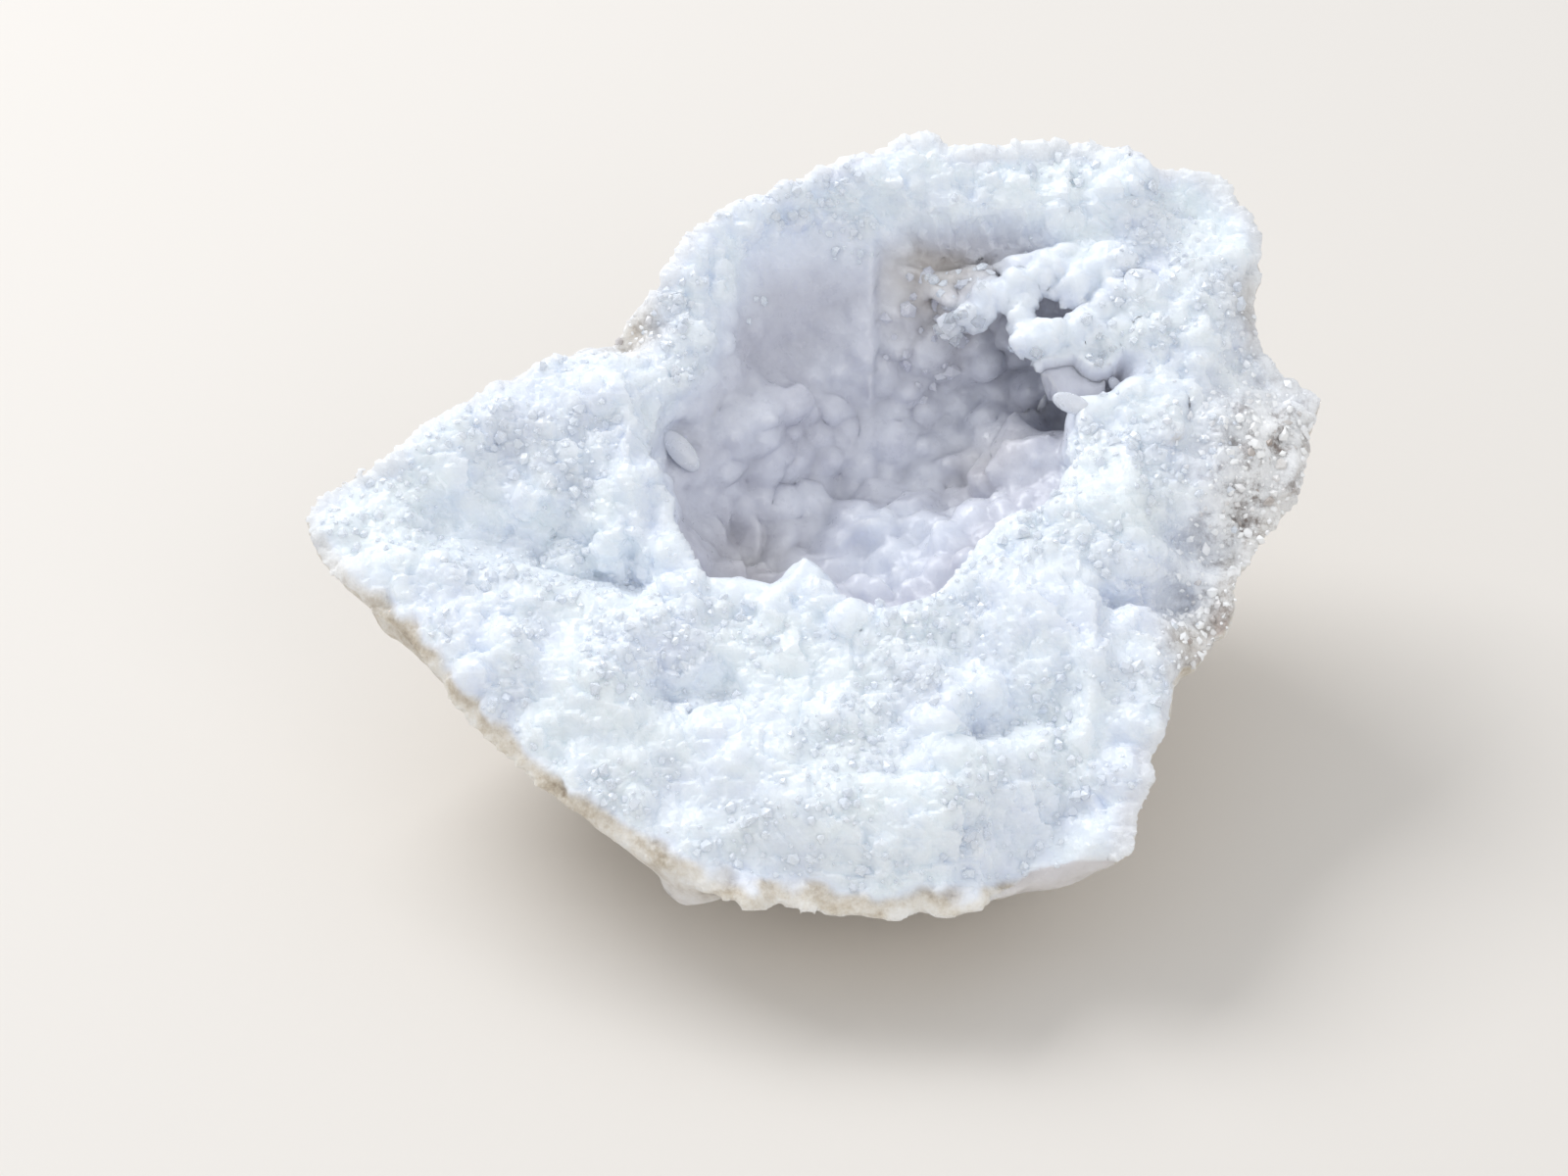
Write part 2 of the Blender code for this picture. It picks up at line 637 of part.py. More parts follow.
def new_object(name, bm):
    bmesh.ops.recalc_face_normals(bm, faces=bm.faces)
    mesh = bpy.data.meshes.new(name)
    bm.to_mesh(mesh)
    bm.free()
    item = bpy.data.objects.new(name, mesh)
    bpy.context.scene.collection.objects.link(item)
    return item


def apply_modifiers(item):
    """Keep the mesh that the modifiers make and drop the modifiers."""
    graph = bpy.context.evaluated_depsgraph_get()
    made = bpy.data.meshes.new_from_object(item.evaluated_get(graph))
    item.modifiers.clear()
    old = item.data
    item.data = made
    made.name = item.name
    bpy.data.meshes.remove(old)


def thin_out(item, triangles):
    """Merge small flat neighbours until about the wanted number is left."""
    mesh = item.data
    count = sum(len(polygon.vertices) - 2 for polygon in mesh.polygons)
    thin = item.modifiers.new("fewer faces", "DECIMATE")
    thin.ratio = min(1.0, triangles / count)
    apply_modifiers(item)


def cut_flat(item):
    """Cut the lowest part away at the ground and close it with one flat face."""
    bm = bmesh.new()
    bm.from_mesh(item.data)
    everything = list(bm.verts) + list(bm.edges) + list(bm.faces)
    bmesh.ops.bisect_plane(bm, geom=everything, dist=1e-7, plane_co=(0.0, 0.0, 0.0),
                           plane_no=(0.0, 0.0, 1.0), clear_inner=True)
    border = [edge for edge in bm.edges if edge.is_boundary]
    bmesh.ops.contextual_create(bm, geom=border)
    bmesh.ops.triangulate(bm, faces=bm.faces)
    bmesh.ops.recalc_face_normals(bm, faces=bm.faces)
    bm.to_mesh(item.data)
    bm.free()


def touches_itself(item):
    bm = bmesh.new()
    bm.from_mesh(item.data)
    touching = any(not edge.is_manifold for edge in bm.edges)
    bm.free()
    return touching


def remesh(item, size):
    """Make one skin around pieces that cross."""
    skin = item.modifiers.new("one skin", "REMESH")
    skin.mode = "VOXEL"
    skin.voxel_size = size * MM
    apply_modifiers(item)


def keep_in_room(item, room):
    """Pull in what would come too near the wall of the hollow."""
    for vert in item.data.vertices:
        vert.co = face_point(*room.kept(face_place(vert.co / MM))) * MM


def keep_largest(item):
    """Drop closed-in voids and loose bits."""
    bm = bmesh.new()
    bm.from_mesh(item.data)
    bodies = []
    waiting = set(bm.verts)
    while waiting:
        body = [waiting.pop()]
        for vert in body:
            for edge in vert.link_edges:
                other = edge.other_vert(vert)
                if other in waiting:
                    waiting.remove(other)
                    body.append(other)
        bodies.append(body)
    bodies.sort(key=len)
    for body in bodies[:-1]:
        bmesh.ops.delete(bm, geom=body, context="VERTS")
    bm.to_mesh(item.data)
    bm.free()


def fuse_crystals(crust, room):
    """Fuse the crystals in one body, a little coarser where it would touch itself."""
    pieces = crust.data
    for size in CRUST_VOXELS:
        crust.data = pieces.copy()
        remesh(crust, size)
        keep_in_room(crust, room)
        remesh(crust, size)
        keep_largest(crust)
        thin_out(crust, CRUST_TRIANGLES)
        if not touches_itself(crust):
            break
    bpy.data.meshes.remove(pieces)


def centre_over_ground(items):
    """Move the object so that the middle of its box is over the origin."""
    corners = [vert.co for item in items for vert in item.data.vertices]
    shift_x = -0.5 * (min(co.x for co in corners) + max(co.x for co in corners))
    shift_y = -0.5 * (min(co.y for co in corners) + max(co.y for co in corners))
    for item in items:
        for vert in item.data.vertices:
            vert.co.x += shift_x
            vert.co.y += shift_y


def stone_material(name, colour, roughness):
    material = bpy.data.materials.new(name)
    material.use_nodes = True
    shader = material.node_tree.nodes["Principled BSDF"]
    shader.inputs["Base Color"].default_value = (*colour, 1.0)
    shader.inputs["Roughness"].default_value = roughness
    return material


def main():
    for item in list(bpy.data.objects):
        bpy.data.objects.remove(item)
    rng = random.Random(SEED)
    outer = roughen_edge(polar_edge(OUTER_EDGE))
    lip = polar_edge(HOLLOW_LIP)
    shell = new_object("rock_shell", build_shell(rng, outer, lip))
    thin_out(shell, SHELL_TRIANGLES)
    cut_flat(shell)
    crust_mesh = build_crust(rng, lip)
    for root, direction, radius, length in ledge_crystals(rng, Hollow(lip)):
        hex_crystal(crust_mesh, root, direction, radius, length, rng.uniform(0.0, TAU))
    crust = new_object("crystal_crust", crust_mesh)
    fuse_crystals(crust, Room(Hollow(lip)))
    centre_over_ground((shell, crust))
    shell.data.materials.append(stone_material("milky_quartz_rock", (0.86, 0.85, 0.86), 0.55))
    crust.data.materials.append(stone_material("quartz_crystals", (0.74, 0.73, 0.80), 0.3))


main()
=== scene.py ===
"""Looks of the quartz geode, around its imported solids.

Lengths in the shape code are in millimetres. u, v and w are the directions of
the broken face: to the right, up the face, and out of it.
"""

import math

import bmesh
import bpy
import numpy as np
from mathutils import Matrix, Vector, kdtree, noise
from mathutils.bvhtree import BVHTree


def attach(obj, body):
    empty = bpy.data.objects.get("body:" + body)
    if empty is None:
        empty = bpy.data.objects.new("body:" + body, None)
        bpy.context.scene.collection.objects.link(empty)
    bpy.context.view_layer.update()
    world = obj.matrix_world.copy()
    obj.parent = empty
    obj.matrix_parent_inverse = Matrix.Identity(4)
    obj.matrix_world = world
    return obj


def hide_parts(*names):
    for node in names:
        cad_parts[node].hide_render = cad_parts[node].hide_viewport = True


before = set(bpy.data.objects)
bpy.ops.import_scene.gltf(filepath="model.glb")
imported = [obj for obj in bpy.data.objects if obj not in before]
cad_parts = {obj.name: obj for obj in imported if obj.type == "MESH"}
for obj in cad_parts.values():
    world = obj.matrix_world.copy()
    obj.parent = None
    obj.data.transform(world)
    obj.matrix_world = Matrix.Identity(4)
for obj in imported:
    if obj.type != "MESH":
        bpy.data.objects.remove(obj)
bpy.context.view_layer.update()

MM = 0.001
TAU = 2.0 * math.pi
SEED = 7

# Broken face in the part's frame
FACE_ORIGIN = Vector((-0.228, -1.675, 16.0))
FACE_TILT = math.radians(27.0)
SINE, COSINE = math.sin(FACE_TILT), math.cos(FACE_TILT)
FACE_RIGHT = np.array((1.0, 0.0, 0.0))
FACE_UP = np.array((0.0, COSINE, SINE))
FACE_OUT = np.array((0.0, -SINE, COSINE))
HUB = (4.5, 6.0)

# Camera of the photograph
CAMERA_PLACE = Vector((-1.664, -136.244, 120.908))
CAMERA_HEIGHT = math.radians(39.0)
CAMERA_LENS = 80.21

# Grids of the joined skins, passes of smoothing, and share of faces kept outside
BASE_VOXEL = 0.45
BASE_SMOOTHING = 4
STONE_VOXEL = 0.225
STONE_SMOOTHING = 2
STONE_THINNING = 0.3

# How the crust grows into the wall: distances from the wall and from the lip
CRUST_BACK = (0.75, 1.15)
CRUST_LEDGE = (2.0, 2.7)
CRUST_BORDER = (2.8, 6.0)
CRUST_SINK = 0.35

# Limits of the hollow and of the broken face
OUTLINE_STEPS = 48
CAVITY_MARGIN = 0.6
CAVITY_MIDDLE = -4.0
CAVITY_FLOOR = -13.5
FACE_FLOOR = -5.5
RIND_CLEARANCE = 2.0

# Fingers of the ledge in the frame's crust, which the chains below replace
LEDGE_FINGERS = (
    ((17.0, 13.4, -1.2), (14.0, 13.2, -1.2), (11.4, 13.0, -1.5), (7.4, 12.6, -2.0)),
    ((12.6, 13.0, -1.4), (10.9, 10.0, -2.0)),
    ((16.0, 14.8, -1.2), (13.4, 15.8, -1.5), (10.4, 15.6, -2.2)),
    ((17.4, 11.4, -1.2), (14.8, 10.8, -1.6)),
)
LEDGE_REACH = (1.6, 2.4)
FINGER_REACH = (1.8, 2.4)

# Chains of crystals in the overhanging ledge: radius, then points u, v, w
LEDGE_CHAINS = (
    (0.95, (19.2, 13.4, -1.2), (16.5, 13.6, -1.0), (15.0, 14.5, -1.1), (13.4, 14.4, -1.3)),
    (0.82, (13.4, 14.4, -1.3), (11.9, 14.7, -1.5), (10.7, 13.9, -1.6), (9.4, 13.2, -1.8)),
    (0.62, (9.4, 13.2, -1.8), (8.3, 12.6, -2.0), (7.2, 12.2, -2.2)),
    (1.0, (18.6, 11.8, -1.3), (16.0, 12.1, -1.1), (14.3, 12.2, -1.3)),
    (0.9, (17.2, 11.2, -1.2), (14.8, 11.2, -1.3), (13.3, 11.1, -1.5), (11.6, 10.8, -1.7)),
    (0.66, (10.7, 13.8, -1.6), (10.5, 12.3, -1.7), (10.8, 10.8, -1.7)),
    (0.45, (10.8, 10.5, -1.7), (10.4, 9.6, -2.1)),
    (0.5, (15.0, 11.0, -1.3), (14.4, 10.1, -1.8)),
)
LEDGE_STEP = 0.75
LEDGE_JITTER = 0.3
LEDGE_SKIN = (1.1, 1.6)
LEDGE_SHADE = (1.05, 1.35)

# Crystals grown into the stone: place u, v, w, axis u, v, w, radius, neck, tip
GROWN_CRYSTALS = (
    # peak on the near lip, and the crystals beside it
    (-0.45, -3.4, -2.6, 0.0, 0.62, 0.78, 1.9, 0.6, 2.7),
    (-3.9, -3.4, -2.9, 0.2, 0.6, 0.78, 1.3, 0.6, 1.8),
    (3.2, -4.6, -2.6, 0.1, 0.6, 0.78, 1.0, 0.5, 1.7),
    (6.4, -3.9, -2.8, -0.1, 0.6, 0.78, 1.1, 0.7, 1.6),
    # inner edge of the left lobe
    (-6.4, 10.4, -2.4, 0.6, 0.1, 0.8, 1.0, 0.8, 1.5),
    (-6.9, 9.0, -2.6, 0.6, 0.1, 0.8, 0.8, 0.6, 1.2),
    (-9.2, 7.2, -2.4, 0.6, 0.0, 0.8, 0.9, 0.7, 1.4),
    (-9.4, 5.0, -2.4, 0.6, 0.0, 0.8, 1.1, 0.8, 1.6),
    (-8.5, 2.8, -2.6, 0.6, 0.0, 0.8, 1.2, 0.9, 1.8),
    (-8.4, 0.9, -2.6, 0.6, -0.2, 0.8, 1.5, 1.2, 2.0),
    (-10.2, -0.3, -2.6, 0.4, -0.5, 0.8, 1.1, 1.0, 1.6),
    # lower step between the lobe and the peak
    (-7.0, -1.4, -4.2, 0.5, 0.3, 0.8, 1.5, 1.0, 1.8),
    (-12.2, -0.9, -3.2, 0.2, -0.3, 0.9, 1.3, 0.7, 1.3),
    # floor and left wall of the hollow
    (-0.1, 5.6, -9.2, 0.1, -0.3, 0.95, 0.95, 1.0, 1.3),
    (-1.2, 3.8, -9.2, 0.0, -0.6, 0.8, 0.7, 0.7, 1.4),
    (-4.9, 9.6, -7.6, 0.4, -0.5, 0.8, 0.85, 1.0, 1.6),
    (-4.4, 6.6, -9.0, 0.3, -0.2, 0.9, 1.0, 0.8, 1.3),
    # wall behind the ledge
    (11.7, 16.6, -5.0, -0.2, -0.6, 0.8, 0.95, 0.8, 1.2),
    (16.4, 9.9, -3.6, -0.3, -0.2, 0.9, 0.9, 0.8, 1.2),
)

# Square blocks on the right wall: centre u, v, w and half sizes
GROWN_BLOCKS = (
    ((14.7, 5.7, -3.0), (1.8, 1.7, 1.3)),
    ((17.0, 8.2, -3.6), (1.4, 0.8, 1.2)),
    ((11.2, 3.6, -5.9), (1.1, 1.0, 1.0)),
)

# Loose lens-shaped crystals: centre u, v, w, turn, half length, half width
LENS_CRYSTALS = (
    (-6.7, 6.9, -6.0, -50.0, 1.3, 0.6),
    (15.5, 9.6, -4.0, -55.0, 0.55, 0.3),
    (13.2, 8.7, -4.2, -20.0, 1.0, 0.5),
)
LENS_THICKNESS = 0.25
LENS_GAP = 0.5

# Clear crystals on the tips of the ledge: u, v, radius
CLEAR_PATCHES = ((10.4, 9.7, 0.8), (7.4, 12.2, 0.8), (14.4, 10.2, 0.7))

# Shadowed recesses of the hollow, sunk in and given a painted shade: u, v, reach across, reach
# along, depth
RECESSES = ((13.6, 9.2, 2.4, 1.3, 3.0), (8.5, 16.7, 4.4, 0.9, 1.8), (-4.6, 2.4, 1.9, 1.6, 1.8))
FULL_RECESS = 1.8

# Smooth slope at the back left and mound on the floor: u, v, reach across, reach along
CALM_WALL = (-0.2, 14.6, 3.8, 4.0)
MOUND = (4.4, 1.9, 4.4, 3.0)

# Crease of the clean facet on the lower right edge: u, v
FACET_CREASE = ((7.8, -21.0), (8.3, -18.8), (10.2, -17.2), (12.0, -16.9), (14.2, -17.0),
                (15.4, -18.5))
FACET_SLOPE = 0.45

# Soft spots of the broken face: weight, u, v, radius
MATRIX_SPOTS = ((1.0, 23.0, 5.5, 3.4), (1.0, 21.5, 1.0, 2.6), (1.0, 20.3, -3.8, 2.4),
                (0.8, 18.4, -6.2, 1.7), (0.9, -9.2, 11.2, 1.6), (0.5, 22.6, 12.0, 1.6))
SMOOTH_SPOTS = ((0.9, 11.6, -18.1, 2.6), (0.6, 13.2, -9.3, 1.4), (0.5, -1.4, -15.0, 4.0))
HOLLOW_STAINS = ((0.5, -3.0, 1.2, 2.4), (0.45, 9.0, 6.8, 1.8), (0.5, 10.5, 17.2, 1.8))
FACE_STAINS = ((0.5, 21.8, 13.3, 1.3), (0.8, 18.0, -5.5, 1.1), (0.8, -8.9, 11.4, 1.2))
RUST_SPOTS = ((1.0, 20.4, -4.8, 0.9), (0.7, 19.2, -6.6, 0.6))

# Spots by u, v and radius: tan stain under the back rim, small crystals in the
# hollow, and the step between the left lobe and the near lip
BACK_STAIN = (6.4, 15.9, 2.7)
BACK_CRYSTALS = (5.8, 13.4, 2.6)
LOBE_STEP = (-10.0, -1.5, 3.0)

# Knob of the rind under the front left edge: place u, v, w, radius and height
KNOB_PLACE = (-6.1, -17.4, -3.6)
KNOB_RADIUS = 1.9
KNOB_HEIGHT = 1.3

# Relief: height, size of the pattern, and its shift from the other patterns
FACE_FACETS = ((0.2, 1.9, 3.0), (0.11, 0.85, 11.0), (0.06, 0.5, 23.0))
FACE_BULGES = (0.12, 1.1, 71.0)
FACE_HILLS = ((0.45, 5.2, 83.0), (0.3, 2.6, 5.0))
MATRIX_LUMPS = (0.45, 1.2, 31.0)
LEDGE_BULGES = (0.3, 1.3, 13.0)
LEDGE_FACETS = (0.14, 0.8, 17.0)
WALL_BULGES = (0.25, 2.5, 47.0)
WALL_LUMPS = (0.3, 3.4, 61.0)
RIND_WANDER = (0.5, 1.3, 41.0)
ROUGHNESS_SIZE, ROUGHNESS_SHIFT, ROUGHNESS_OCTAVES = 1.5, 9.0, 4
MATRIX_ROUGHNESS = 0.3
RIND_ROUGHNESS = 0.13
FRONT_CALM = 0.7

# Grown and scattered crystals: spacing, smallest radius, spread of the radii
HOLLOW_GROWTH = (1.3, 0.6, 0.75)
LIP_GROWTH = (0.95, 0.4, 0.6)
HOLLOW_CRYSTALS = (0.8, 0.26, 0.34)
CLEAR_CRYSTALS = (0.55, 0.22, 0.2)
FACE_GRAINS = (0.42, 0.14, 0.24)
MATRIX_GRAINS = (0.34, 0.12, 0.26)
LEAST_CROWD = 0.3

# Shader values
QUARTZ_IOR = 1.54
CLEAR_TRANSMISSION = 0.7
CLOUDY_TRANSMISSION = 0.2
MILKY_WEIGHT, MILKY_RADIUS = 0.8, 1.1

# Colours at stops along a noise
FINE_QUARTZ = ((0.35, (0.77, 0.83, 0.93)), (0.6, (0.85, 0.905, 0.985)))
BROAD_QUARTZ = ((0.38, (0.77, 0.80, 0.90)), (0.6, (0.86, 0.915, 0.985)))
# The hollow's quartz: its own greyer tint, darkened further as a painted shade
SHADED_HOLLOW_QUARTZ = ((0.35, (0.61, 0.615, 0.685)), (0.65, (0.72, 0.735, 0.80)))
CHALK = ((0.37, (0.26, 0.22, 0.20)), (0.44, (0.54, 0.52, 0.51)),
         (0.50, (0.80, 0.80, 0.80)), (0.60, (0.93, 0.93, 0.93)))
RIND = ((0.32, (0.33, 0.26, 0.19)), (0.43, (0.60, 0.53, 0.43)),
        (0.53, (0.78, 0.73, 0.65)), (0.68, (0.88, 0.86, 0.82)))
STAIN = ((0.35, (0.46, 0.38, 0.28)), (0.6, (0.78, 0.73, 0.66)))
RUST = ((0.35, (0.12, 0.06, 0.045)), (0.55, (0.36, 0.22, 0.17)), (0.7, (0.70, 0.62, 0.57)))

# Colours from the darkest crystal or grain to the palest
GRAIN_QUARTZ = ((0.0, (0.84, 0.87, 0.93)), (1.0, (0.93, 0.955, 0.985)))
GRAIN_CHALK = ((0.0, (0.36, 0.30, 0.26)), (0.12, (0.66, 0.63, 0.60)),
               (0.3, (0.87, 0.865, 0.86)), (1.0, (0.96, 0.96, 0.945)))
NEAR_CRYSTALS = ((0.0, (0.81, 0.86, 0.94)), (1.0, (0.89, 0.935, 0.985)))
# Crystals deep in the hollow: a painted shade, darker than those near the lip
SHADED_DEEP_CRYSTALS = ((0.0, (0.68, 0.685, 0.78)), (1.0, (0.80, 0.81, 0.88)))
CLEAR_TINTS = ((0.0, (0.88, 0.91, 0.97)), (1.0, (0.96, 0.98, 1.0)))

# Studio
FLOOR_SIZE = 3.0
FLOOR_DROP = 0.00005
FLOOR_COLOUR = (0.76, 0.72, 0.67)
SKY_COLOUR, SKY_STRENGTH = (0.93, 0.96, 1.0), 0.7


# Places


def face_place(points):
    """Broken face directions of an array of points."""
    local = points - np.array(FACE_ORIGIN)
    v = local[:, 1] * COSINE + local[:, 2] * SINE
    w = local[:, 2] * COSINE - local[:, 1] * SINE
    return np.stack([local[:, 0], v, w], axis=1)


def face_point(u, v, w):
    """Place of a point that is given by the directions of the broken face."""
    return np.array(FACE_ORIGIN) + u * FACE_RIGHT + v * FACE_UP + w * FACE_OUT


def ramp(values, low, high):
    """Smooth step from 0 at the low value to 1 at the high one."""
    t = np.clip((values - low) / (high - low), 0.0, 1.0)
    return t * t * (3.0 - 2.0 * t)


def blob(place, u, v, radius):
    """1 at a place of the broken face, falling to 0 around it."""
    reach = ((place[:, 0] - u) ** 2 + (place[:, 1] - v) ** 2) / radius ** 2
    return np.exp(-reach)


def plateau(place, u, v, across, along):
    """1 over an oval part of the broken face, falling steeply at its edge."""
    reach = ((place[:, 0] - u) / across) ** 2 + ((place[:, 1] - v) / along) ** 2
    return np.exp(-reach ** 2)


def spots(place, rows):
    """Sum of soft spots, each with its own weight."""
    return sum(weight * blob(place, *spot) for weight, *spot in rows)


def unit(vectors):
    """Vectors at a length of 1."""
    return vectors / np.maximum(np.linalg.norm(vectors, axis=-1, keepdims=True), 1e-9)


# Meshes


def read_points(mesh):
    """Places of a mesh's corners in millimetres."""
    points = np.empty(len(mesh.vertices) * 3)
    mesh.vertices.foreach_get("co", points)
    return points.reshape(-1, 3) / MM


def write_points(mesh, points):
    """Move a mesh's corners to places in millimetres."""
    mesh.vertices.foreach_set("co", (points * MM).astype(np.float32).ravel())
    mesh.update()


def read_normals(mesh):
    """Normals at a mesh's corners."""
    normals = np.empty(len(mesh.vertices) * 3)
    mesh.vertex_normals.foreach_get("vector", normals)
    return normals.reshape(-1, 3)


def new_object(name, mesh):
    """Put a mesh into the scene."""
    item = bpy.data.objects.new(name, mesh)
    bpy.context.scene.collection.objects.link(item)
    return item


def apply_modifiers(item):
    """Turn what the modifiers make into the object's own mesh."""
    graph = bpy.context.evaluated_depsgraph_get()
    made = bpy.data.meshes.new_from_object(item.evaluated_get(graph))
    item.modifiers.clear()
    item.data = made
    made.name = item.name


def search_tree(points):
    """Tree that finds the nearest of some points."""
    tree = kdtree.KDTree(len(points))
    for i, p in enumerate(points):
        tree.insert(p, i)
    tree.balance()
    return tree


def distances(tree, points):
    """Distance from each point to the nearest one in a tree."""
    return np.array([tree.find(p)[2] for p in points])


def surface_tree(mesh):
    """Search tree of a mesh's surface, in millimetres."""
    corners = [tuple(p) for p in read_points(mesh)]
    return BVHTree.FromPolygons(corners, [tuple(f.vertices) for f in mesh.polygons])


def face_direction(u, v, w):
    """Unit vector that is given by the directions of the broken face."""
    return unit(u * FACE_RIGHT + v * FACE_UP + w * FACE_OUT)


def segments(chain):
    """Ends of each straight part of a chain of places u, v, w."""
    points = [face_point(*place) for place in chain]
    return zip(points, points[1:])


def nearest_finger(p):
    """Closest point on the middle line of the frame's ledge fingers, and its distance."""
    best, reach = p, 1e9
    for finger in LEDGE_FINGERS:
        for start, end in segments(finger):
            along = end - start
            t = min(1.0, max(0.0, float(np.dot(p - start, along) / np.dot(along, along))))
            near = start + along * t
            if np.linalg.norm(p - near) < reach:
                best, reach = near, float(np.linalg.norm(p - near))
    return best, reach


def grown_crust():
    """Crust of the frame, with its back and its border grown into the rock."""
    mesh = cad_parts["crystal_crust"].data.copy()
    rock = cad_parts["rock_shell"].data
    wall_tree = surface_tree(rock)
    rock_points, rock_normals = read_points(rock), read_normals(rock)
    on_face = (rock_normals @ FACE_OUT > 0.6) & (face_place(rock_points)[:, 2] > -3.0)
    lip_tree = search_tree(rock_points[on_face])
    points = read_points(mesh)
    for i, p in enumerate(points):
        wall, _, _, distance = wall_tree.find_nearest(Vector(p))
        slim = float(ramp(distance, *LEDGE_REACH))
        core, reach = nearest_finger(p)
        on_finger = 1.0 - float(ramp(reach, *FINGER_REACH))
        p = p + (core - p) * slim * on_finger
        points[i] = p
        back = 1.0 - float(ramp(distance, *CRUST_BACK))
        border = 1.0 - float(ramp(lip_tree.find(p)[2], *CRUST_BORDER))
        border *= 1.0 - on_finger * float(ramp(distance, *CRUST_LEDGE))
        toward = (np.array(wall) - p) / max(distance, 1e-6)
        points[i] = p + toward * max(back, border) * (distance + CRUST_SINK)
    write_points(mesh, points)
    return mesh


def largest_part(mesh):
    """Keep the part of a mesh with most vertices."""
    bm = bmesh.new()
    bm.from_mesh(mesh)
    left, parts = set(bm.verts), []
    while left:
        stack, part = [left.pop()], []
        while stack:
            vert = stack.pop()
            part.append(vert)
            for edge in vert.link_edges:
                other = edge.other_vert(vert)
                if other in left:
                    left.remove(other)
                    stack.append(other)
        parts.append(part)
    parts.sort(key=len, reverse=True)
    bmesh.ops.delete(bm, geom=[v for part in parts[1:] for v in part], context="VERTS")
    bm.to_mesh(mesh)
    bm.free()


def add_crystal(bm, centre, axis, radius, neck, tip):
    """Add a closed six-sided prism that runs up to its neck and ends in a point."""
    centre, axis = Vector(centre), Vector(axis)
    side = axis.orthogonal().normalized()
    other = axis.cross(side)
    rings = []
    for height in (-radius, neck):
        rings.append([])
        for k in range(6):
            out = side * math.cos(TAU * k / 6.0) + other * math.sin(TAU * k / 6.0)
            rings[-1].append(bm.verts.new((centre + out * radius + axis * height) * MM))
    low, high = rings
    top = bm.verts.new((centre + axis * tip) * MM)
    bm.faces.new(low[::-1])
    for k in range(6):
        bm.faces.new((low[k], low[k - 5], high[k - 5], high[k]))
        bm.faces.new((high[k], high[k - 5], top))


def add_blunt_crystal(bm, rng, centre, axis, radius, low, high):
    """Add a crystal with a low tip, and a random neck between two shares of its radius."""
    neck = radius * rng.uniform(low, high)
    add_crystal(bm, centre, axis, radius, neck, neck + radius * rng.uniform(0.3, 0.5))


def add_block(bm, centre, halves):
    """Add a box that lies along the broken face."""
    place = Matrix.Identity(4)
    for k, axis in enumerate((FACE_RIGHT, FACE_UP, FACE_OUT)):
        place.col[k] = (*(axis * 2.0 * halves[k] * MM), 0.0)
    place.col[3] = (*(face_point(*centre) * MM), 1.0)
    bmesh.ops.create_cube(bm, size=1.0, matrix=place)


def grow_ledge(bm):
    """Add overlapping crystals along the chains of the ledge."""
    rng = np.random.default_rng(SEED + 8)
    for radius, *chain in LEDGE_CHAINS:
        for start, end in segments(chain):
            steps = max(1, round(float(np.linalg.norm(end - start)) / LEDGE_STEP))
            for k in range(steps + 1):
                size = radius * rng.uniform(0.7, 1.1)
                jitter = rng.normal(size=3) * LEDGE_JITTER * radius
                centre = start + (end - start) * k / steps + jitter
                axis = unit(rng.normal(size=3))
                add_crystal(bm, centre, axis, 0.85 * size, 0.3 * size, size)


def grow_hollow(bm, base, outline):
    """Add blunt, deep-set crystals all over the walls of the hollow."""
    rng = np.random.default_rng(SEED + 9)

    def weigh(centres, normals):
        place = face_place(centres)
        calm = np.maximum(calm_wall(place), mound(place))
        return cavity_zone(centres, normals, outline) * (1.0 - 0.97 * calm) * (place[:, 2] < -3.2)

    spacing, smallest, spread = HOLLOW_GROWTH
    places, normals = scatter(base, rng, spacing, weigh)
    axes = leaning(normals, rng, 0.3)
    for place, axis in zip(places, axes):
        radius = smallest + spread * rng.random() ** 1.8
        add_blunt_crystal(bm, rng, place, axis, radius, -0.3, 0.15)


def grow_lip(bm, base, outline):
    """Add blocky crystals along the edge of the hollow."""
    rng = np.random.default_rng(SEED + 2)

    def weigh(centres, normals):
        place = face_place(centres)
        across, along = place[:, 0] - HUB[0], place[:, 1] - HUB[1]
        reach = np.interp(np.arctan2(along, across) % TAU, *outline, period=TAU)
        beyond = np.hypot(across, along) - reach
        near = (1.0 - ramp(beyond, 0.5, 4.5)) * ramp(beyond, -1.6, -0.6)
        return (near * ramp(normals @ FACE_OUT, 0.0, 0.5) * (place[:, 2] > -3.5)
                * (1.0 - 0.9 * calm_wall(place)) * (1.0 - recessed(place)))

    spacing, smallest, spread = LIP_GROWTH
    places, normals = scatter(base, rng, spacing, weigh)
    place = face_place(places)
    inward = unit(np.stack([HUB[0] - place[:, 0], HUB[1] - place[:, 1]], axis=1))
    toward = inward[:, :1] * FACE_RIGHT + inward[:, 1:] * FACE_UP
    axes = leaning(normals + 0.4 * toward, rng, 0.35)
    for place, axis in zip(places, axes):
        radius = smallest + spread * rng.random() ** 2.0
        add_blunt_crystal(bm, rng, place, axis, radius, -0.2, 0.3)


def skinned(name, joined, voxel, smoothing):
    """Object with one even, softened skin over the shapes of a mesh."""
    item = new_object(name, joined)
    skin = item.modifiers.new("skin", "REMESH")
    skin.mode = "VOXEL"
    skin.voxel_size = voxel * MM
    soft = item.modifiers.new("soft", "SMOOTH")
    soft.factor = 0.5
    soft.iterations = smoothing
    apply_modifiers(item)
    largest_part(item.data)
    return item


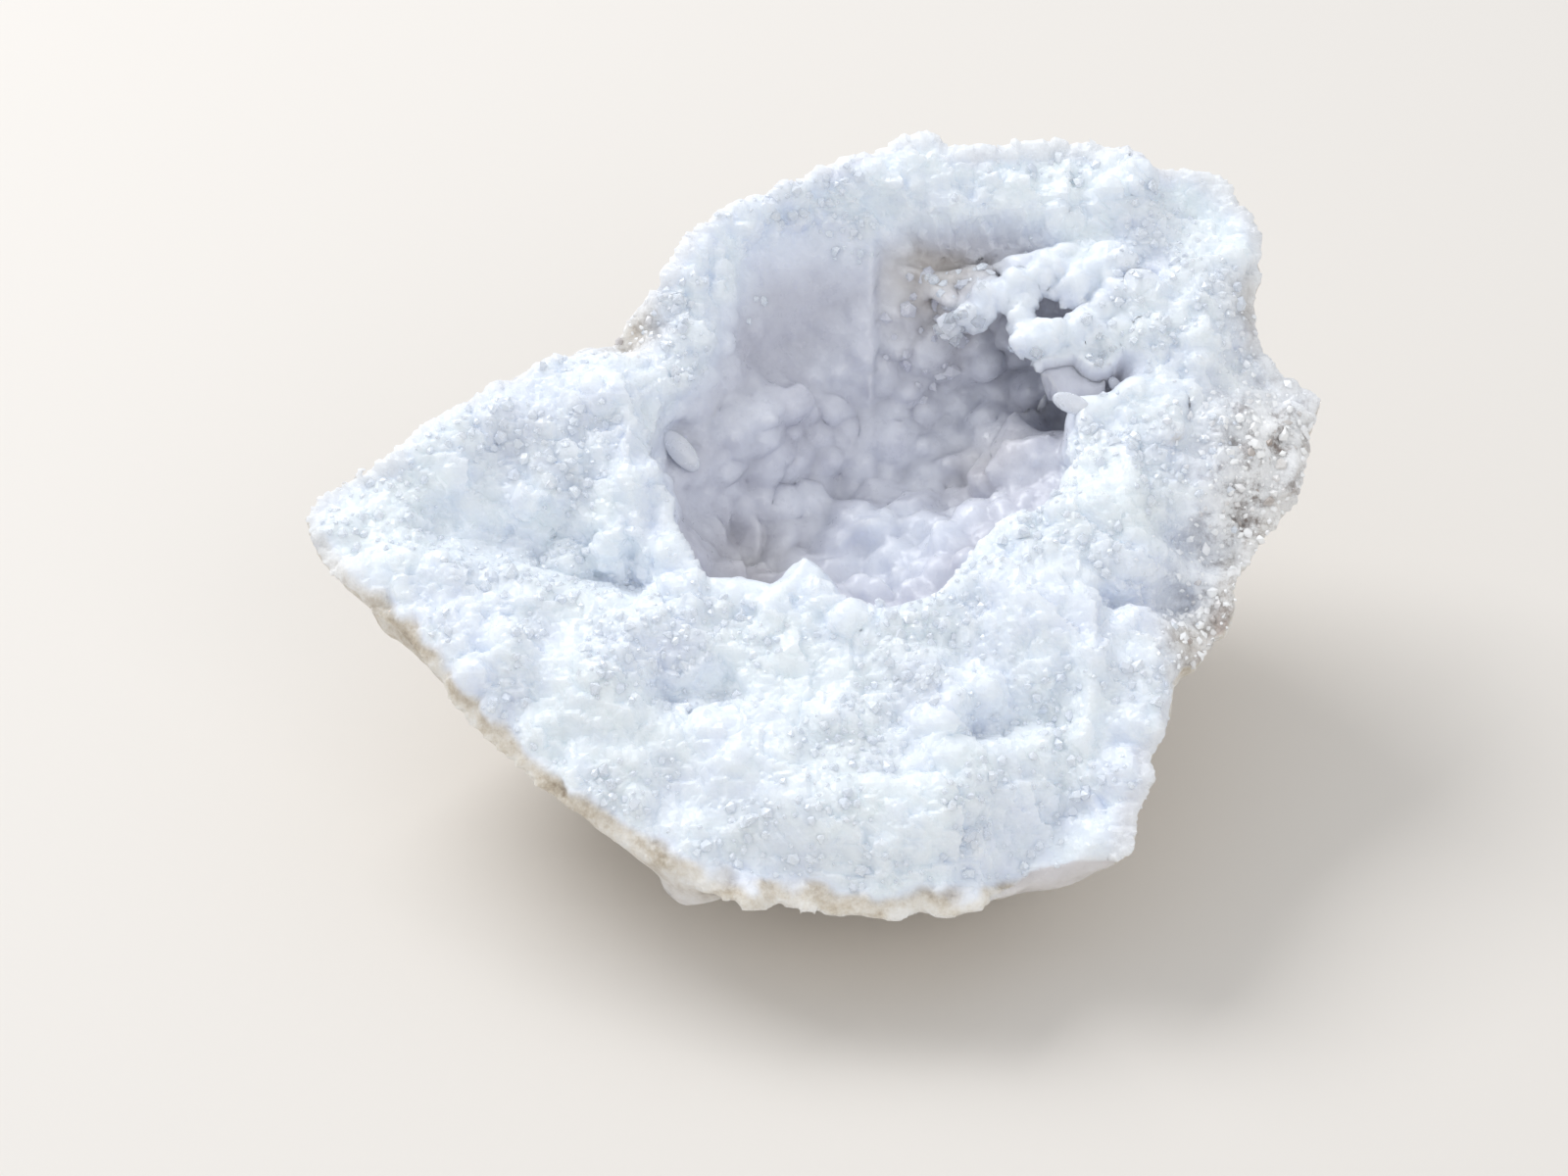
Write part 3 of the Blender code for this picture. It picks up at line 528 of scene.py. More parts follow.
def fused_stone(name, outline):
    """The rock, the crust and the crystals grown on them, in one skin."""
    bm = bmesh.new()
    bm.from_mesh(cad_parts["rock_shell"].data)
    bm.from_mesh(grown_crust())
    plain = bpy.data.meshes.new("plain_stone")
    bm.to_mesh(plain)
    base = skinned("plain_stone", plain, BASE_VOXEL, BASE_SMOOTHING)
    grow_ledge(bm)
    grow_hollow(bm, base, outline)
    grow_lip(bm, base, outline)
    bpy.data.objects.remove(base)
    for row in GROWN_CRYSTALS:
        add_crystal(bm, face_point(*row[:3]), face_direction(*row[3:6]), *row[6:])
    for centre, halves in GROWN_BLOCKS:
        add_block(bm, centre, halves)
    joined = bpy.data.meshes.new(name)
    bm.to_mesh(joined)
    bm.free()
    return skinned(name, joined, STONE_VOXEL, STONE_SMOOTHING)


def thin_out(item, weights, share):
    """Keep only a share of the faces where the weights are 1, and all others."""
    group = item.vertex_groups.new(name="thin")
    for i in np.flatnonzero(weights > 0.0):
        group.add([int(i)], float(weights[i]), "REPLACE")
    thin = item.modifiers.new("thin", "DECIMATE")
    thin.ratio = 1.0 - (1.0 - share) * float(np.mean(weights))
    thin.vertex_group = "thin"
    apply_modifiers(item)
    item.vertex_groups.clear()


def store(mesh, name, values):
    """Keep one value for each corner of a mesh, for its material."""
    layer = mesh.attributes.new(name, "FLOAT", "POINT")
    layer.data.foreach_set("value", np.asarray(values, np.float32))


# Relief


def facets(points, size, shift):
    """Height of tilted flat cells of a given size at each point."""
    offset = Vector((shift, 2.0 * shift, -shift))
    out = np.empty(len(points))
    for i, p in enumerate(points):
        q = Vector(p) / size + offset
        centre = noise.voronoi(q)[1][0]
        tilt = noise.cell_vector(centre * 7.31)
        out[i] = (q - centre).dot(tilt) * 1.1 + 0.45 * noise.cell(centre * 3.17)
    return out


def bulges(points, size, shift):
    """Height of round knobs of a given size at each point."""
    offset = Vector((shift, 2.0 * shift, -shift))
    return np.array([1.0 - noise.voronoi(Vector(p) / size + offset)[0][0] ** 2 for p in points])


def lumps(points, size, shift):
    """Height of soft lumps of a given size at each point."""
    offset = Vector((shift, -shift, 0.5 * shift))
    return np.array([noise.noise(Vector(p) / size + offset) for p in points])


def turbulence(points, size, shift, octaves):
    """Height of rough ground, in several sizes from the given one down."""
    offset = Vector((shift, -shift, 0.5 * shift))
    return np.array([noise.fractal(Vector(p) / size + offset, 0.9, 2.0, octaves) for p in points])


# Rock


def matrix_zone(place):
    """Where chalky, crumbly matrix shows instead of quartz."""
    return np.clip(spots(place, MATRIX_SPOTS), 0.0, 1.0)


def smooth_zone(place):
    """Where the quartz broke clean, in smooth shell-like faces."""
    return np.clip(spots(place, SMOOTH_SPOTS), 0.0, 1.0)


def reach_around(place):
    """Directions around the hub of the face, and how far the places reach in each."""
    across, along = place[:, 0] - HUB[0], place[:, 1] - HUB[1]
    slots = (np.arctan2(along, across) % TAU / TAU * OUTLINE_STEPS).astype(int) % OUTLINE_STEPS
    reach = np.array([np.hypot(across, along)[slots == k].max() for k in range(OUTLINE_STEPS)])
    return (np.arange(OUTLINE_STEPS) + 0.5) / OUTLINE_STEPS * TAU, reach


def cavity_zone(points, normals, outline):
    """1 on the walls of the hollow, 0 on the broken face and on the rind."""
    place = face_place(points)
    across, along = place[:, 0] - HUB[0], place[:, 1] - HUB[1]
    reach = np.interp(np.arctan2(along, across) % TAU, *outline, period=TAU)
    inside = ramp(reach + CAVITY_MARGIN - np.hypot(across, along), 0.0, 0.8)
    toward = unit(face_point(*HUB, CAVITY_MIDDLE) - points)
    facing = np.sum(normals * toward, axis=1) > -0.25
    return inside * (facing | (normals @ FACE_OUT > 0.3)) * (place[:, 2] > CAVITY_FLOOR)


def face_zone(points, normals, low, high):
    """1 on the broken face, 0 on the rind."""
    return ramp(normals @ FACE_OUT, low, high) * (face_place(points)[:, 2] > FACE_FLOOR)


def calm_wall(place):
    """1 on the smooth slope at the back left of the hollow."""
    return plateau(place, *CALM_WALL)


def mound(place):
    """1 on the broad smooth mound on the floor of the hollow."""
    return plateau(place, *MOUND) * ramp(-place[:, 2], 3.5, 5.5)


def recess_depth(place):
    """How far the shadowed recesses of the hollow sink in."""
    total = np.zeros(len(place))
    for *oval, depth_and_shade in RECESSES:
        total = np.maximum(total, depth_and_shade * plateau(place, *oval))
    return total


def recessed(place):
    """1 in the shadowed recesses of the hollow."""
    return np.minimum(recess_depth(place) / FULL_RECESS, 1.0)


def shadow_depth(place):
    """0 at the lip, 1 deep in the hollow and in its recesses, where the quartz gets a painted
    shade, greyer and darker, on top of its own greyer tint; half of it is kept off the mound, as
    painted light.
    """
    below = np.maximum(ramp(-place[:, 2], 0.6, 3.6), recessed(place))
    return below * (1.0 - 0.5 * mound(place))


def off_the_rind(points):
    """1 where the nearest surface of the frame's rock is its broken face or its hollow."""
    rock = surface_tree(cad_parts["rock_shell"].data)
    hits = [rock.find_nearest(p) for p in points]
    nearest = np.array([tuple(hit[0]) for hit in hits])
    normals = np.array([tuple(hit[1]) for hit in hits])
    toward = unit(face_point(*HUB, CAVITY_MIDDLE) - nearest)
    in_hollow = np.sum(normals * toward, axis=1) > 0.1
    return 1.0 * (in_hollow | (normals @ FACE_OUT > 0.45))


def inner_step(place):
    """1 on the steep step between the left lobe and the near lip, which is quartz too."""
    return 1.0 * (blob(place, *LOBE_STEP) > 0.3) * (place[:, 2] > FACE_FLOOR)


def ledge_distance(points):
    """Distance to the middle lines of the ledge's chains."""
    best = np.full(len(points), 1e9)
    for _, *chain in LEDGE_CHAINS:
        for start, end in segments(chain):
            along = end - start
            t = np.clip((points - start) @ along / (along @ along), 0.0, 1.0)
            best = np.minimum(best, np.linalg.norm(points - start - t[:, None] * along, axis=1))
    return best


def past_crease(place):
    """How far each place lies past the crease of the clean facet."""
    crease = np.interp(place[:, 0], *zip(*FACET_CREASE), left=-30.0, right=-30.0)
    return np.clip(crease - place[:, 1], 0.0, 2.5) * ramp(place[:, 2], -5.0, -2.5)


def underside_knob(place):
    """1 on a knob of the rind that shows under the front left edge."""
    aside = np.sum((place - np.array(KNOB_PLACE)) ** 2, axis=1)
    return np.exp(-aside / KNOB_RADIUS ** 2)


def stained(place):
    """Tan stain in the hollow, under the back rim, beside the notch and on the right."""
    deep = ramp(-place[:, 2], 0.6, 2.0)
    recess = blob(place, *BACK_STAIN) * ramp(place[:, 0], 3.2, 3.8)
    inside = (recess + spots(place, HOLLOW_STAINS)) * deep
    return np.clip(inside + spots(place, FACE_STAINS), 0.0, 1.0)


def wall_edge(place):
    """Smooth column of the back wall, which ends in an upright edge."""
    beside = ramp(3.4 - place[:, 0], 0.0, 0.3) * ramp(place[:, 0], -4.0, 1.5)
    return beside * ramp(place[:, 1], 9.5, 12.5) * ramp(-place[:, 2], 0.5, 2.5)


def pattern(kind, points, values):
    """Relief of one kind, with its height, size and shift."""
    height, size, shift = values
    return height * kind(points, size, shift)


def build_stone(outline):
    """The whole stone as one closed piece, with its relief and the masks of its material."""
    item = fused_stone("broken_stone", outline)
    points, normals = read_points(item.data), read_normals(item.data)
    quartz = np.maximum(cavity_zone(points, normals, outline),
                        face_zone(points, normals, 0.1, 0.45))
    thin_out(item, np.where(quartz > 0.02, 0.0, 1.0), STONE_THINNING)

    # Zones
    mesh = item.data
    points, normals = read_points(mesh), read_normals(mesh)
    place = face_place(points)
    cavity = cavity_zone(points, normals, outline)
    face = face_zone(points, normals, 0.05, 0.4) * (1.0 - cavity)
    outside = 1.0 - np.maximum(face, cavity)
    matrix, smooth = matrix_zone(place) * (1.0 - cavity), smooth_zone(place)
    crumbly = matrix * ramp(place[:, 2], -3.6, -1.6)
    in_rim = np.maximum(off_the_rind(points), inner_step(place))
    rind_tree = search_tree(points[(face < 0.05) & (cavity < 0.05) & (in_rim < 0.05)])
    to_rind = distances(rind_tree, points)
    beyond = past_crease(place)
    clean = ramp(beyond, 0.05, 0.2)
    knob = underside_knob(place) * outside
    front = ramp(-place[:, 1], -2.0, 8.0) * ramp(-place[:, 0], -16.0, -6.0)
    front_edge = front * (1.0 - ramp(to_rind, 0.4, 1.6)) * ramp(place[:, 2], -2.5, -1.2)
    off_front_edge = 1.0 - FRONT_CALM * front_edge
    from_ledge = ledge_distance(points)
    off_ledge = ramp(from_ledge, *LEDGE_SKIN)
    wall = cavity * off_ledge
    calm = 1.0 - 0.85 * np.maximum(calm_wall(place), mound(place))

    # Relief along the normals
    grain = face * (1.0 - 0.85 * smooth) * (1.0 - 0.5 * matrix) * (1.0 - clean)
    relief = sum(pattern(facets, points, values) * grain for values in FACE_FACETS)
    relief += pattern(bulges, points, FACE_BULGES) * grain
    hills = sum(pattern(lumps, points, values) for values in FACE_HILLS)
    relief += hills * face * (1.0 - 0.8 * clean)
    relief *= off_front_edge
    rough = turbulence(points, ROUGHNESS_SIZE, ROUGHNESS_SHIFT, ROUGHNESS_OCTAVES)
    coarse = MATRIX_ROUGHNESS * crumbly + RIND_ROUGHNESS * outside * off_front_edge
    relief += rough * coarse + KNOB_HEIGHT * knob
    relief += pattern(lumps, points, MATRIX_LUMPS) * crumbly
    on_ledge = pattern(bulges, points, LEDGE_BULGES) + pattern(facets, points, LEDGE_FACETS)
    relief += on_ledge * (1.0 - off_ledge)
    on_wall = pattern(bulges, points, WALL_BULGES) + pattern(lumps, points, WALL_LUMPS)
    relief += on_wall * wall * calm

    # Larger moves, each in one direction
    upper = ramp(normals @ FACE_OUT, -0.5, -0.1) * ramp(place[:, 2], -10.0, -8.0)
    recess = recess_depth(place) * off_ledge * upper
    sunk = FACET_SLOPE * beyond + recess - mound(place) * wall
    raised = FACET_SLOPE * beyond - wall_edge(place) * wall
    flat_base = ramp(points[:, 2], 0.15, 1.2)
    points = points + normals * (relief * flat_base)[:, None] - sunk[:, None] * FACE_OUT
    points = points + raised[:, None] * FACE_UP
    points[:, 2] = np.maximum(points[:, 2], 0.0)
    write_points(mesh, points)

    # Masks of the material
    rind_edge = ramp(-(to_rind + pattern(lumps, points, RIND_WANDER)), -1.2, -0.5)
    wide_outline = (outline[0], outline[1] + RIND_CLEARANCE)
    off_cavity = 1.0 - cavity_zone(points, normals, wide_outline)
    bare = outside * off_cavity * (1.0 - in_rim)
    thin_rind = rind_edge * np.clip(0.25 + front, 0.0, 1.0) * off_cavity
    store(mesh, "rind", np.maximum(bare, thin_rind) * (1.0 - 0.8 * knob) * (1.0 - 0.8 * clean))
    store(mesh, "chalk", matrix)
    # Grey painted shade on the clean facet and the underside knob, which face down into shadow
    store(mesh, "clean", np.maximum(clean, knob))
    # Painted shade: darker, greyer quartz deep in the hollow and in the recesses; lighter on the
    # mound and the ledge, as painted light
    inside = np.maximum(cavity, recessed(place)) * shadow_depth(place)
    store(mesh, "depth_and_shade", inside * (0.1 + 0.9 * ramp(from_ledge, *LEDGE_SHADE)))
    store(mesh, "stain", stained(place))
    store(mesh, "rust", np.clip(spots(place, RUST_SPOTS), 0.0, 1.0))
    sugary = (face > 0.4) & (beyond < 0.05)
    mesh.polygons.foreach_set("use_smooth", [not sugary[p.vertices[0]] for p in mesh.polygons])
    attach(item, "root")
    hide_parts("rock_shell", "crystal_crust")
    return item


# Scattered crystals and grains


def spaced(points, spacing):
    """Indices of the points that keep a distance from those kept before them."""
    kept, cells = [], {}
    steps = [(a, b, c) for a in (-1, 0, 1) for b in (-1, 0, 1) for c in (-1, 0, 1)]
    for i, p in enumerate(points):
        key = tuple(int(math.floor(c / spacing)) for c in p)
        near = [points[j] for s in steps
                for j in cells.get((key[0] + s[0], key[1] + s[1], key[2] + s[2]), ())]
        if all(np.dot(p - q, p - q) >= spacing * spacing for q in near):
            kept.append(i)
            cells.setdefault(key, []).append(i)
    return kept


def scatter(item, rng, spacing, weigh):
    """Spaced random places on a mesh, with their normals."""
    mesh = item.data
    count = len(mesh.polygons)
    centres, normals, areas = np.empty(count * 3), np.empty(count * 3), np.empty(count)
    mesh.polygons.foreach_get("center", centres)
    mesh.polygons.foreach_get("normal", normals)
    mesh.polygons.foreach_get("area", areas)
    centres, normals = centres.reshape(-1, 3) / MM, normals.reshape(-1, 3)
    weights = weigh(centres, normals) * areas / MM ** 2
    tries = int(1.6 * weights.sum() / spacing ** 2)
    order = rng.choice(count, size=min(tries, int((weights > 0).sum())), replace=False,
                       p=weights / weights.sum())
    kept = order[spaced(centres[order], spacing)]
    return centres[kept], normals[kept]


def side_axes(axes):
    """Two directions square to each axis."""
    helper = np.where(np.abs(axes[:, 2:3]) < 0.8, np.array((0.0, 0.0, 1.0)),
                      np.array((1.0, 0.0, 0.0)))
    first = unit(np.cross(axes, helper))
    return first, np.cross(axes, first)


HEX_SIDES = [(i, (i + 1) % 6, (i + 1) % 6 + 6, i + 6) for i in range(6)]
HEX_TIPS = [(i + 6, (i + 1) % 6 + 6, 12) for i in range(6)]
HEX_BASE = [(5, 4, 3, 2, 1, 0)]
HEX_CORNERS = 13


def crystal_mesh(name, rng, places, axes, radii, lengths, sink, in_cavity=1.0):
    """Closed six-sided crystals with pointed ends, rooted at the places."""
    count = len(places)
    first, second = side_axes(axes)
    turn = rng.uniform(0.0, TAU, count)
    corners = []
    spread = rng.uniform(0.78, 1.15, (count, 6))
    for ring in range(2):
        for side in range(6):
            angle = turn + TAU * (side / 6.0) + rng.uniform(-0.09, 0.09, count)
            reach = radii * spread[:, side] * (1.0 if ring == 0 else 0.93)
            height = -sink * radii if ring == 0 else lengths * rng.uniform(0.86, 1.1, count)
            corners.append(places + first * (reach * np.cos(angle))[:, None]
                           + second * (reach * np.sin(angle))[:, None]
                           + axes * height[:, None])
    off = rng.uniform(-0.22, 0.22, (count, 2)) * radii[:, None]
    point_height = lengths + radii * rng.uniform(0.55, 1.0, count)
    corners.append(places + first * off[:, :1] + second * off[:, 1:] + axes * point_height[:, None])
    verts = np.stack(corners, axis=1).reshape(-1, 3)
    faces = [tuple(HEX_CORNERS * i + c for c in face) for i in range(count)
             for face in HEX_SIDES + HEX_TIPS + HEX_BASE]
    mesh = bpy.data.meshes.new(name)
    mesh.from_pydata((verts * MM).tolist(), [], faces)
    store(mesh, "tint", np.repeat(rng.uniform(0.0, 1.0, count), HEX_CORNERS))
    # Painted shade on crystals deep in the hollow, none on the face grains
    store(mesh, "depth_and_shade", shadow_depth(face_place(verts)) * in_cavity)
    return mesh


def grain_mesh(name, rng, places, axes, radii):
    """Closed angular grains, half sunk at the places."""
    bm = bmesh.new()
    bmesh.ops.create_icosphere(bm, subdivisions=1, radius=1.0)
    shape = np.array([tuple(v.co) for v in bm.verts])
    faces = [tuple(v.index for v in f.verts) for f in bm.faces]
    bm.free()
    count, corners = len(places), len(shape)
    first, second = side_axes(axes)
    wide = rng.uniform(0.75, 1.3, (count, 3))
    local = shape[None] * rng.uniform(0.72, 1.12, (count, corners, 1)) * wide[:, None, :]
    turn = rng.uniform(0.0, TAU, count)[:, None]
    x = local[:, :, 0] * np.cos(turn) - local[:, :, 1] * np.sin(turn)
    y = local[:, :, 0] * np.sin(turn) + local[:, :, 1] * np.cos(turn)
    verts = (places[:, None] + radii[:, None, None]
             * (first[:, None] * x[..., None] + second[:, None] * y[..., None]
                + axes[:, None] * local[:, :, 2:]))
    verts = verts.reshape(-1, 3)
    mesh = bpy.data.meshes.new(name)
    mesh.from_pydata((verts * MM).tolist(), [],
                     [tuple(corners * i + c for c in face) for i in range(count) for face in faces])
    store(mesh, "tint", np.repeat(rng.uniform(0.0, 1.0, count), corners))
    store(mesh, "chalk", matrix_zone(face_place(verts)))
    return mesh


def add_piece(mesh, replaced, smooth=False):
    """Put a finished mesh into the scene as a piece of the object, shaded flat or smooth."""
    mesh.polygons.foreach_set("use_smooth", [smooth] * len(mesh.polygons))
    item = new_object(mesh.name, mesh)
    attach(item, "root")
    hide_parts(replaced)
    return item


def leaning(normals, rng, jitter):
    """Unit vectors that lean away from the normals at random."""
    return unit(normals + jitter * rng.normal(size=normals.shape))


def build_hollow_crystals(stone, outline):
    """Small crystals on the wall under the back rim."""
    rng = np.random.default_rng(SEED + 1)

    def weigh(centres, normals):
        place = face_place(centres)
        calm = 1.0 - 0.97 * np.maximum(calm_wall(place), mound(place))
        crowd = blob(place, *BACK_CRYSTALS)
        return cavity_zone(centres, normals, outline) * calm * crowd * (crowd > LEAST_CROWD)

    spacing, smallest, spread = HOLLOW_CRYSTALS
    places, normals = scatter(stone, rng, spacing, weigh)
    count = len(places)
    axes = leaning(normals, rng, 0.35)
    radii = smallest + spread * rng.random(count) ** 1.8
    lengths = -0.3 * radii * rng.random(count)
    mesh = crystal_mesh("hollow_crystals", rng, places, axes, radii, lengths, 1.2)
    return add_piece(mesh, "crystal_crust")


def build_clear_crystals(stone):
    """Small clear crystals on the tips of the ledge."""
    rng = np.random.default_rng(SEED + 5)

    def weigh(centres, normals):
        place = face_place(centres)
        patches = np.sum([blob(place, *patch) for patch in CLEAR_PATCHES], axis=0)
        return np.clip(patches, 0.0, 1.0) * (patches > 0.2) * (place[:, 2] > -3.6)

    spacing, smallest, spread = CLEAR_CRYSTALS
    places, normals = scatter(stone, rng, spacing, weigh)
    count = len(places)
    axes = leaning(normals, rng, 0.4)
    radii = smallest + spread * rng.random(count) ** 1.6
    lengths = radii * rng.uniform(0.2, 0.9, count)
    mesh = crystal_mesh("clear_crystals", rng, places, axes, radii, lengths, 0.6)
    return add_piece(mesh, "crystal_crust")


def build_lens_crystals(stone):
    """Thin lens-shaped crystals that stand free in the hollow, facing the front."""
    right = Vector((1.0, 0.0, 0.0))
    front = Vector((0.0, -math.cos(CAMERA_HEIGHT), math.sin(CAMERA_HEIGHT)))
    walls = surface_tree(stone.data)
    bm = bmesh.new()
    for u, v, w, turn, half_length, half_width in LENS_CRYSTALS:
        sight = (Vector(face_point(u, v, w)) - CAMERA_PLACE).normalized()
        centre = walls.ray_cast(CAMERA_PLACE, sight)[0] - sight * LENS_GAP
        along = Matrix.Rotation(math.radians(turn), 3, front) @ right
        place = Matrix.Identity(4)
        place.col[0] = (*(along * half_length * MM), 0.0)
        place.col[1] = (*(front.cross(along) * half_width * MM), 0.0)
        place.col[2] = (*(front * LENS_THICKNESS * MM), 0.0)
        place.col[3] = (*(centre * MM), 1.0)
        bmesh.ops.create_icosphere(bm, subdivisions=3, radius=1.0, matrix=place)
    mesh = bpy.data.meshes.new("lens_crystals")
    bm.to_mesh(mesh)
    bm.free()
    store(mesh, "tint", np.full(len(mesh.vertices), 0.9))
    # A fixed painted shade, as for crystals midway down the hollow
    store(mesh, "depth_and_shade", np.full(len(mesh.vertices), 0.55))
    return add_piece(mesh, "crystal_crust", smooth=True)


def broken_quartz(centres, normals):
    """Where grains stand on the broken face, in patches."""
    place = face_place(centres)
    patches = ramp(lumps(centres, 3.5, 97.0), -0.15, 0.35)
    keep = (1.0 - 0.9 * smooth_zone(place)) * (1.0 - 0.9 * matrix_zone(place))
    keep *= 1.0 - np.maximum(recessed(place), mound(place))
    return keep * patches * ramp(normals @ FACE_OUT, 0.6, 0.8) * (place[:, 2] > -3.0)


def crumbling_matrix(centres, normals):
    """Where grains stand on the matrix."""
    return matrix_zone(face_place(centres)) ** 1.5 * ramp(normals @ FACE_OUT, 0.3, 0.6)


def build_face_grains(stone):
    """Fine grains of quartz on the broken face, off the rind."""
    rng = np.random.default_rng(SEED + 3)
    rind = np.empty(len(stone.data.vertices))
    stone.data.attributes["rind"].data.foreach_get("value", rind)
    on_quartz = rind[[p.vertices[0] for p in stone.data.polygons]] < 0.15

    def weigh(centres, normals):
        return broken_quartz(centres, normals) * on_quartz

    spacing, smallest, spread = FACE_GRAINS
    places, normals = scatter(stone, rng, spacing, weigh)
    count = len(places)
    radii = smallest + spread * rng.random(count) ** 2.0
    lengths = -0.35 * radii * rng.random(count)
    axes = leaning(normals, rng, 0.45)
    mesh = crystal_mesh("face_grains", rng, places, axes, radii, lengths, 1.0, in_cavity=0.0)
    return add_piece(mesh, "rock_shell")


def build_matrix_grains(stone):
    """Chalky grains on the matrix."""
    rng = np.random.default_rng(SEED + 4)
    spacing, smallest, spread = MATRIX_GRAINS
    places, normals = scatter(stone, rng, spacing, crumbling_matrix)
    radii = smallest + spread * rng.random(len(places)) ** 2.5
    places = places - normals * (0.5 * radii)[:, None]
    mesh = grain_mesh("matrix_grains", rng, places, leaning(normals, rng, 0.5), radii)
    return add_piece(mesh, "rock_shell")


# Materials


def material_tree(name):
    """New material, its node tree and its shader."""
    material = bpy.data.materials.new(name)
    material.use_nodes = True
    tree = material.node_tree
    return material, tree, tree.nodes["Principled BSDF"]


def node(tree, kind, **values):
    """Add a node and set its values."""
    made = tree.nodes.new(kind)
    for key, value in values.items():
        setattr(made, key, value)
    return made


def attribute(tree, name):
    """Value that a mesh keeps for its corners."""
    return node(tree, "ShaderNodeAttribute", attribute_name=name).outputs["Fac"]


def position(tree):
    """Place on the object, in metres."""
    return node(tree, "ShaderNodeTexCoord").outputs["Object"]


def noise_fac(tree, scale, detail=4.0, roughness=0.6):
    """Noise from 0 to 1, with its scale per metre."""
    made = node(tree, "ShaderNodeTexNoise")
    made.inputs["Scale"].default_value = scale
    made.inputs["Detail"].default_value = detail
    made.inputs["Roughness"].default_value = roughness
    tree.links.new(position(tree), made.inputs["Vector"])
    return made.outputs["Fac"]


def colour_ramp(tree, source, stops):
    """Colours at stops along a value."""
    made = node(tree, "ShaderNodeValToRGB")
    ramp_node = made.color_ramp
    while len(ramp_node.elements) < len(stops):
        ramp_node.elements.new(0.5)
    for element, (place, colour) in zip(ramp_node.elements, stops):
        element.position = place
        element.color = (*colour, 1.0)
    tree.links.new(source, made.inputs["Fac"])
    return made.outputs["Color"]


def mix(tree, factor, first, second):
    """Mix of two colours, each a socket or a plain colour."""
    made = node(tree, "ShaderNodeMix", data_type="RGBA")
    tree.links.new(factor, made.inputs["Factor"])
    for source, socket in ((first, made.inputs[6]), (second, made.inputs[7])):
        if isinstance(source, tuple):
            socket.default_value = (*source, 1.0)
        else:
            tree.links.new(source, socket)
    return made.outputs[2]


def number(tree, source, low, high, start=0.0, end=1.0):
    """Value taken from the range start to end into the range low to high."""
    made = node(tree, "ShaderNodeMapRange")
    for name, value in (("From Min", start), ("From Max", end), ("To Min", low), ("To Max", high)):
        made.inputs[name].default_value = value
    tree.links.new(source, made.inputs["Value"])
    return made.outputs["Result"]


def grainy_roughness(tree, shader, source, low, high):
    """Let the roughness of a shader follow a noise."""
    roughness = number(tree, source, low, high, 0.3, 0.7)
    tree.links.new(roughness, shader.inputs["Roughness"])


def vector_math(tree, operation, first, second=None, scale=None):
    """Result of one step of vector arithmetic."""
    made = node(tree, "ShaderNodeVectorMath", operation=operation)
    tree.links.new(first, made.inputs[0])
    if isinstance(second, tuple):
        made.inputs[1].default_value = second
    elif second is not None:
        tree.links.new(second, made.inputs[1])
    if scale is not None:
        made.inputs["Scale"].default_value = scale
    return made.outputs["Vector"]


def glinting_normal(tree, layers):
    """Normal that leans its own way in each small crystal cell."""
    total = node(tree, "ShaderNodeNewGeometry").outputs["Normal"]
    for size, strength in layers:
        cells = node(tree, "ShaderNodeTexVoronoi")
        cells.inputs["Scale"].default_value = 1.0 / (size * MM)
        tree.links.new(position(tree), cells.inputs["Vector"])
        lean = vector_math(tree, "SUBTRACT", cells.outputs["Color"], (0.5, 0.5, 0.5))
        lean = vector_math(tree, "SCALE", lean, scale=strength)
        total = vector_math(tree, "ADD", total, lean)
    return vector_math(tree, "NORMALIZE", total)


def gritty_normal(tree, normal, where):
    """Normal with a fine chalky grit on the parts where a mask is 1."""
    grit = node(tree, "ShaderNodeMath", operation="MULTIPLY")
    tree.links.new(noise_fac(tree, 1100.0, 8.0, 0.7), grit.inputs[0])
    tree.links.new(where, grit.inputs[1])
    bump = node(tree, "ShaderNodeBump")
    bump.inputs["Strength"].default_value = 0.7
    bump.inputs["Distance"].default_value = 0.5 * MM
    tree.links.new(grit.outputs["Value"], bump.inputs["Height"])
    tree.links.new(normal, bump.inputs["Normal"])
    return bump.outputs["Normal"]


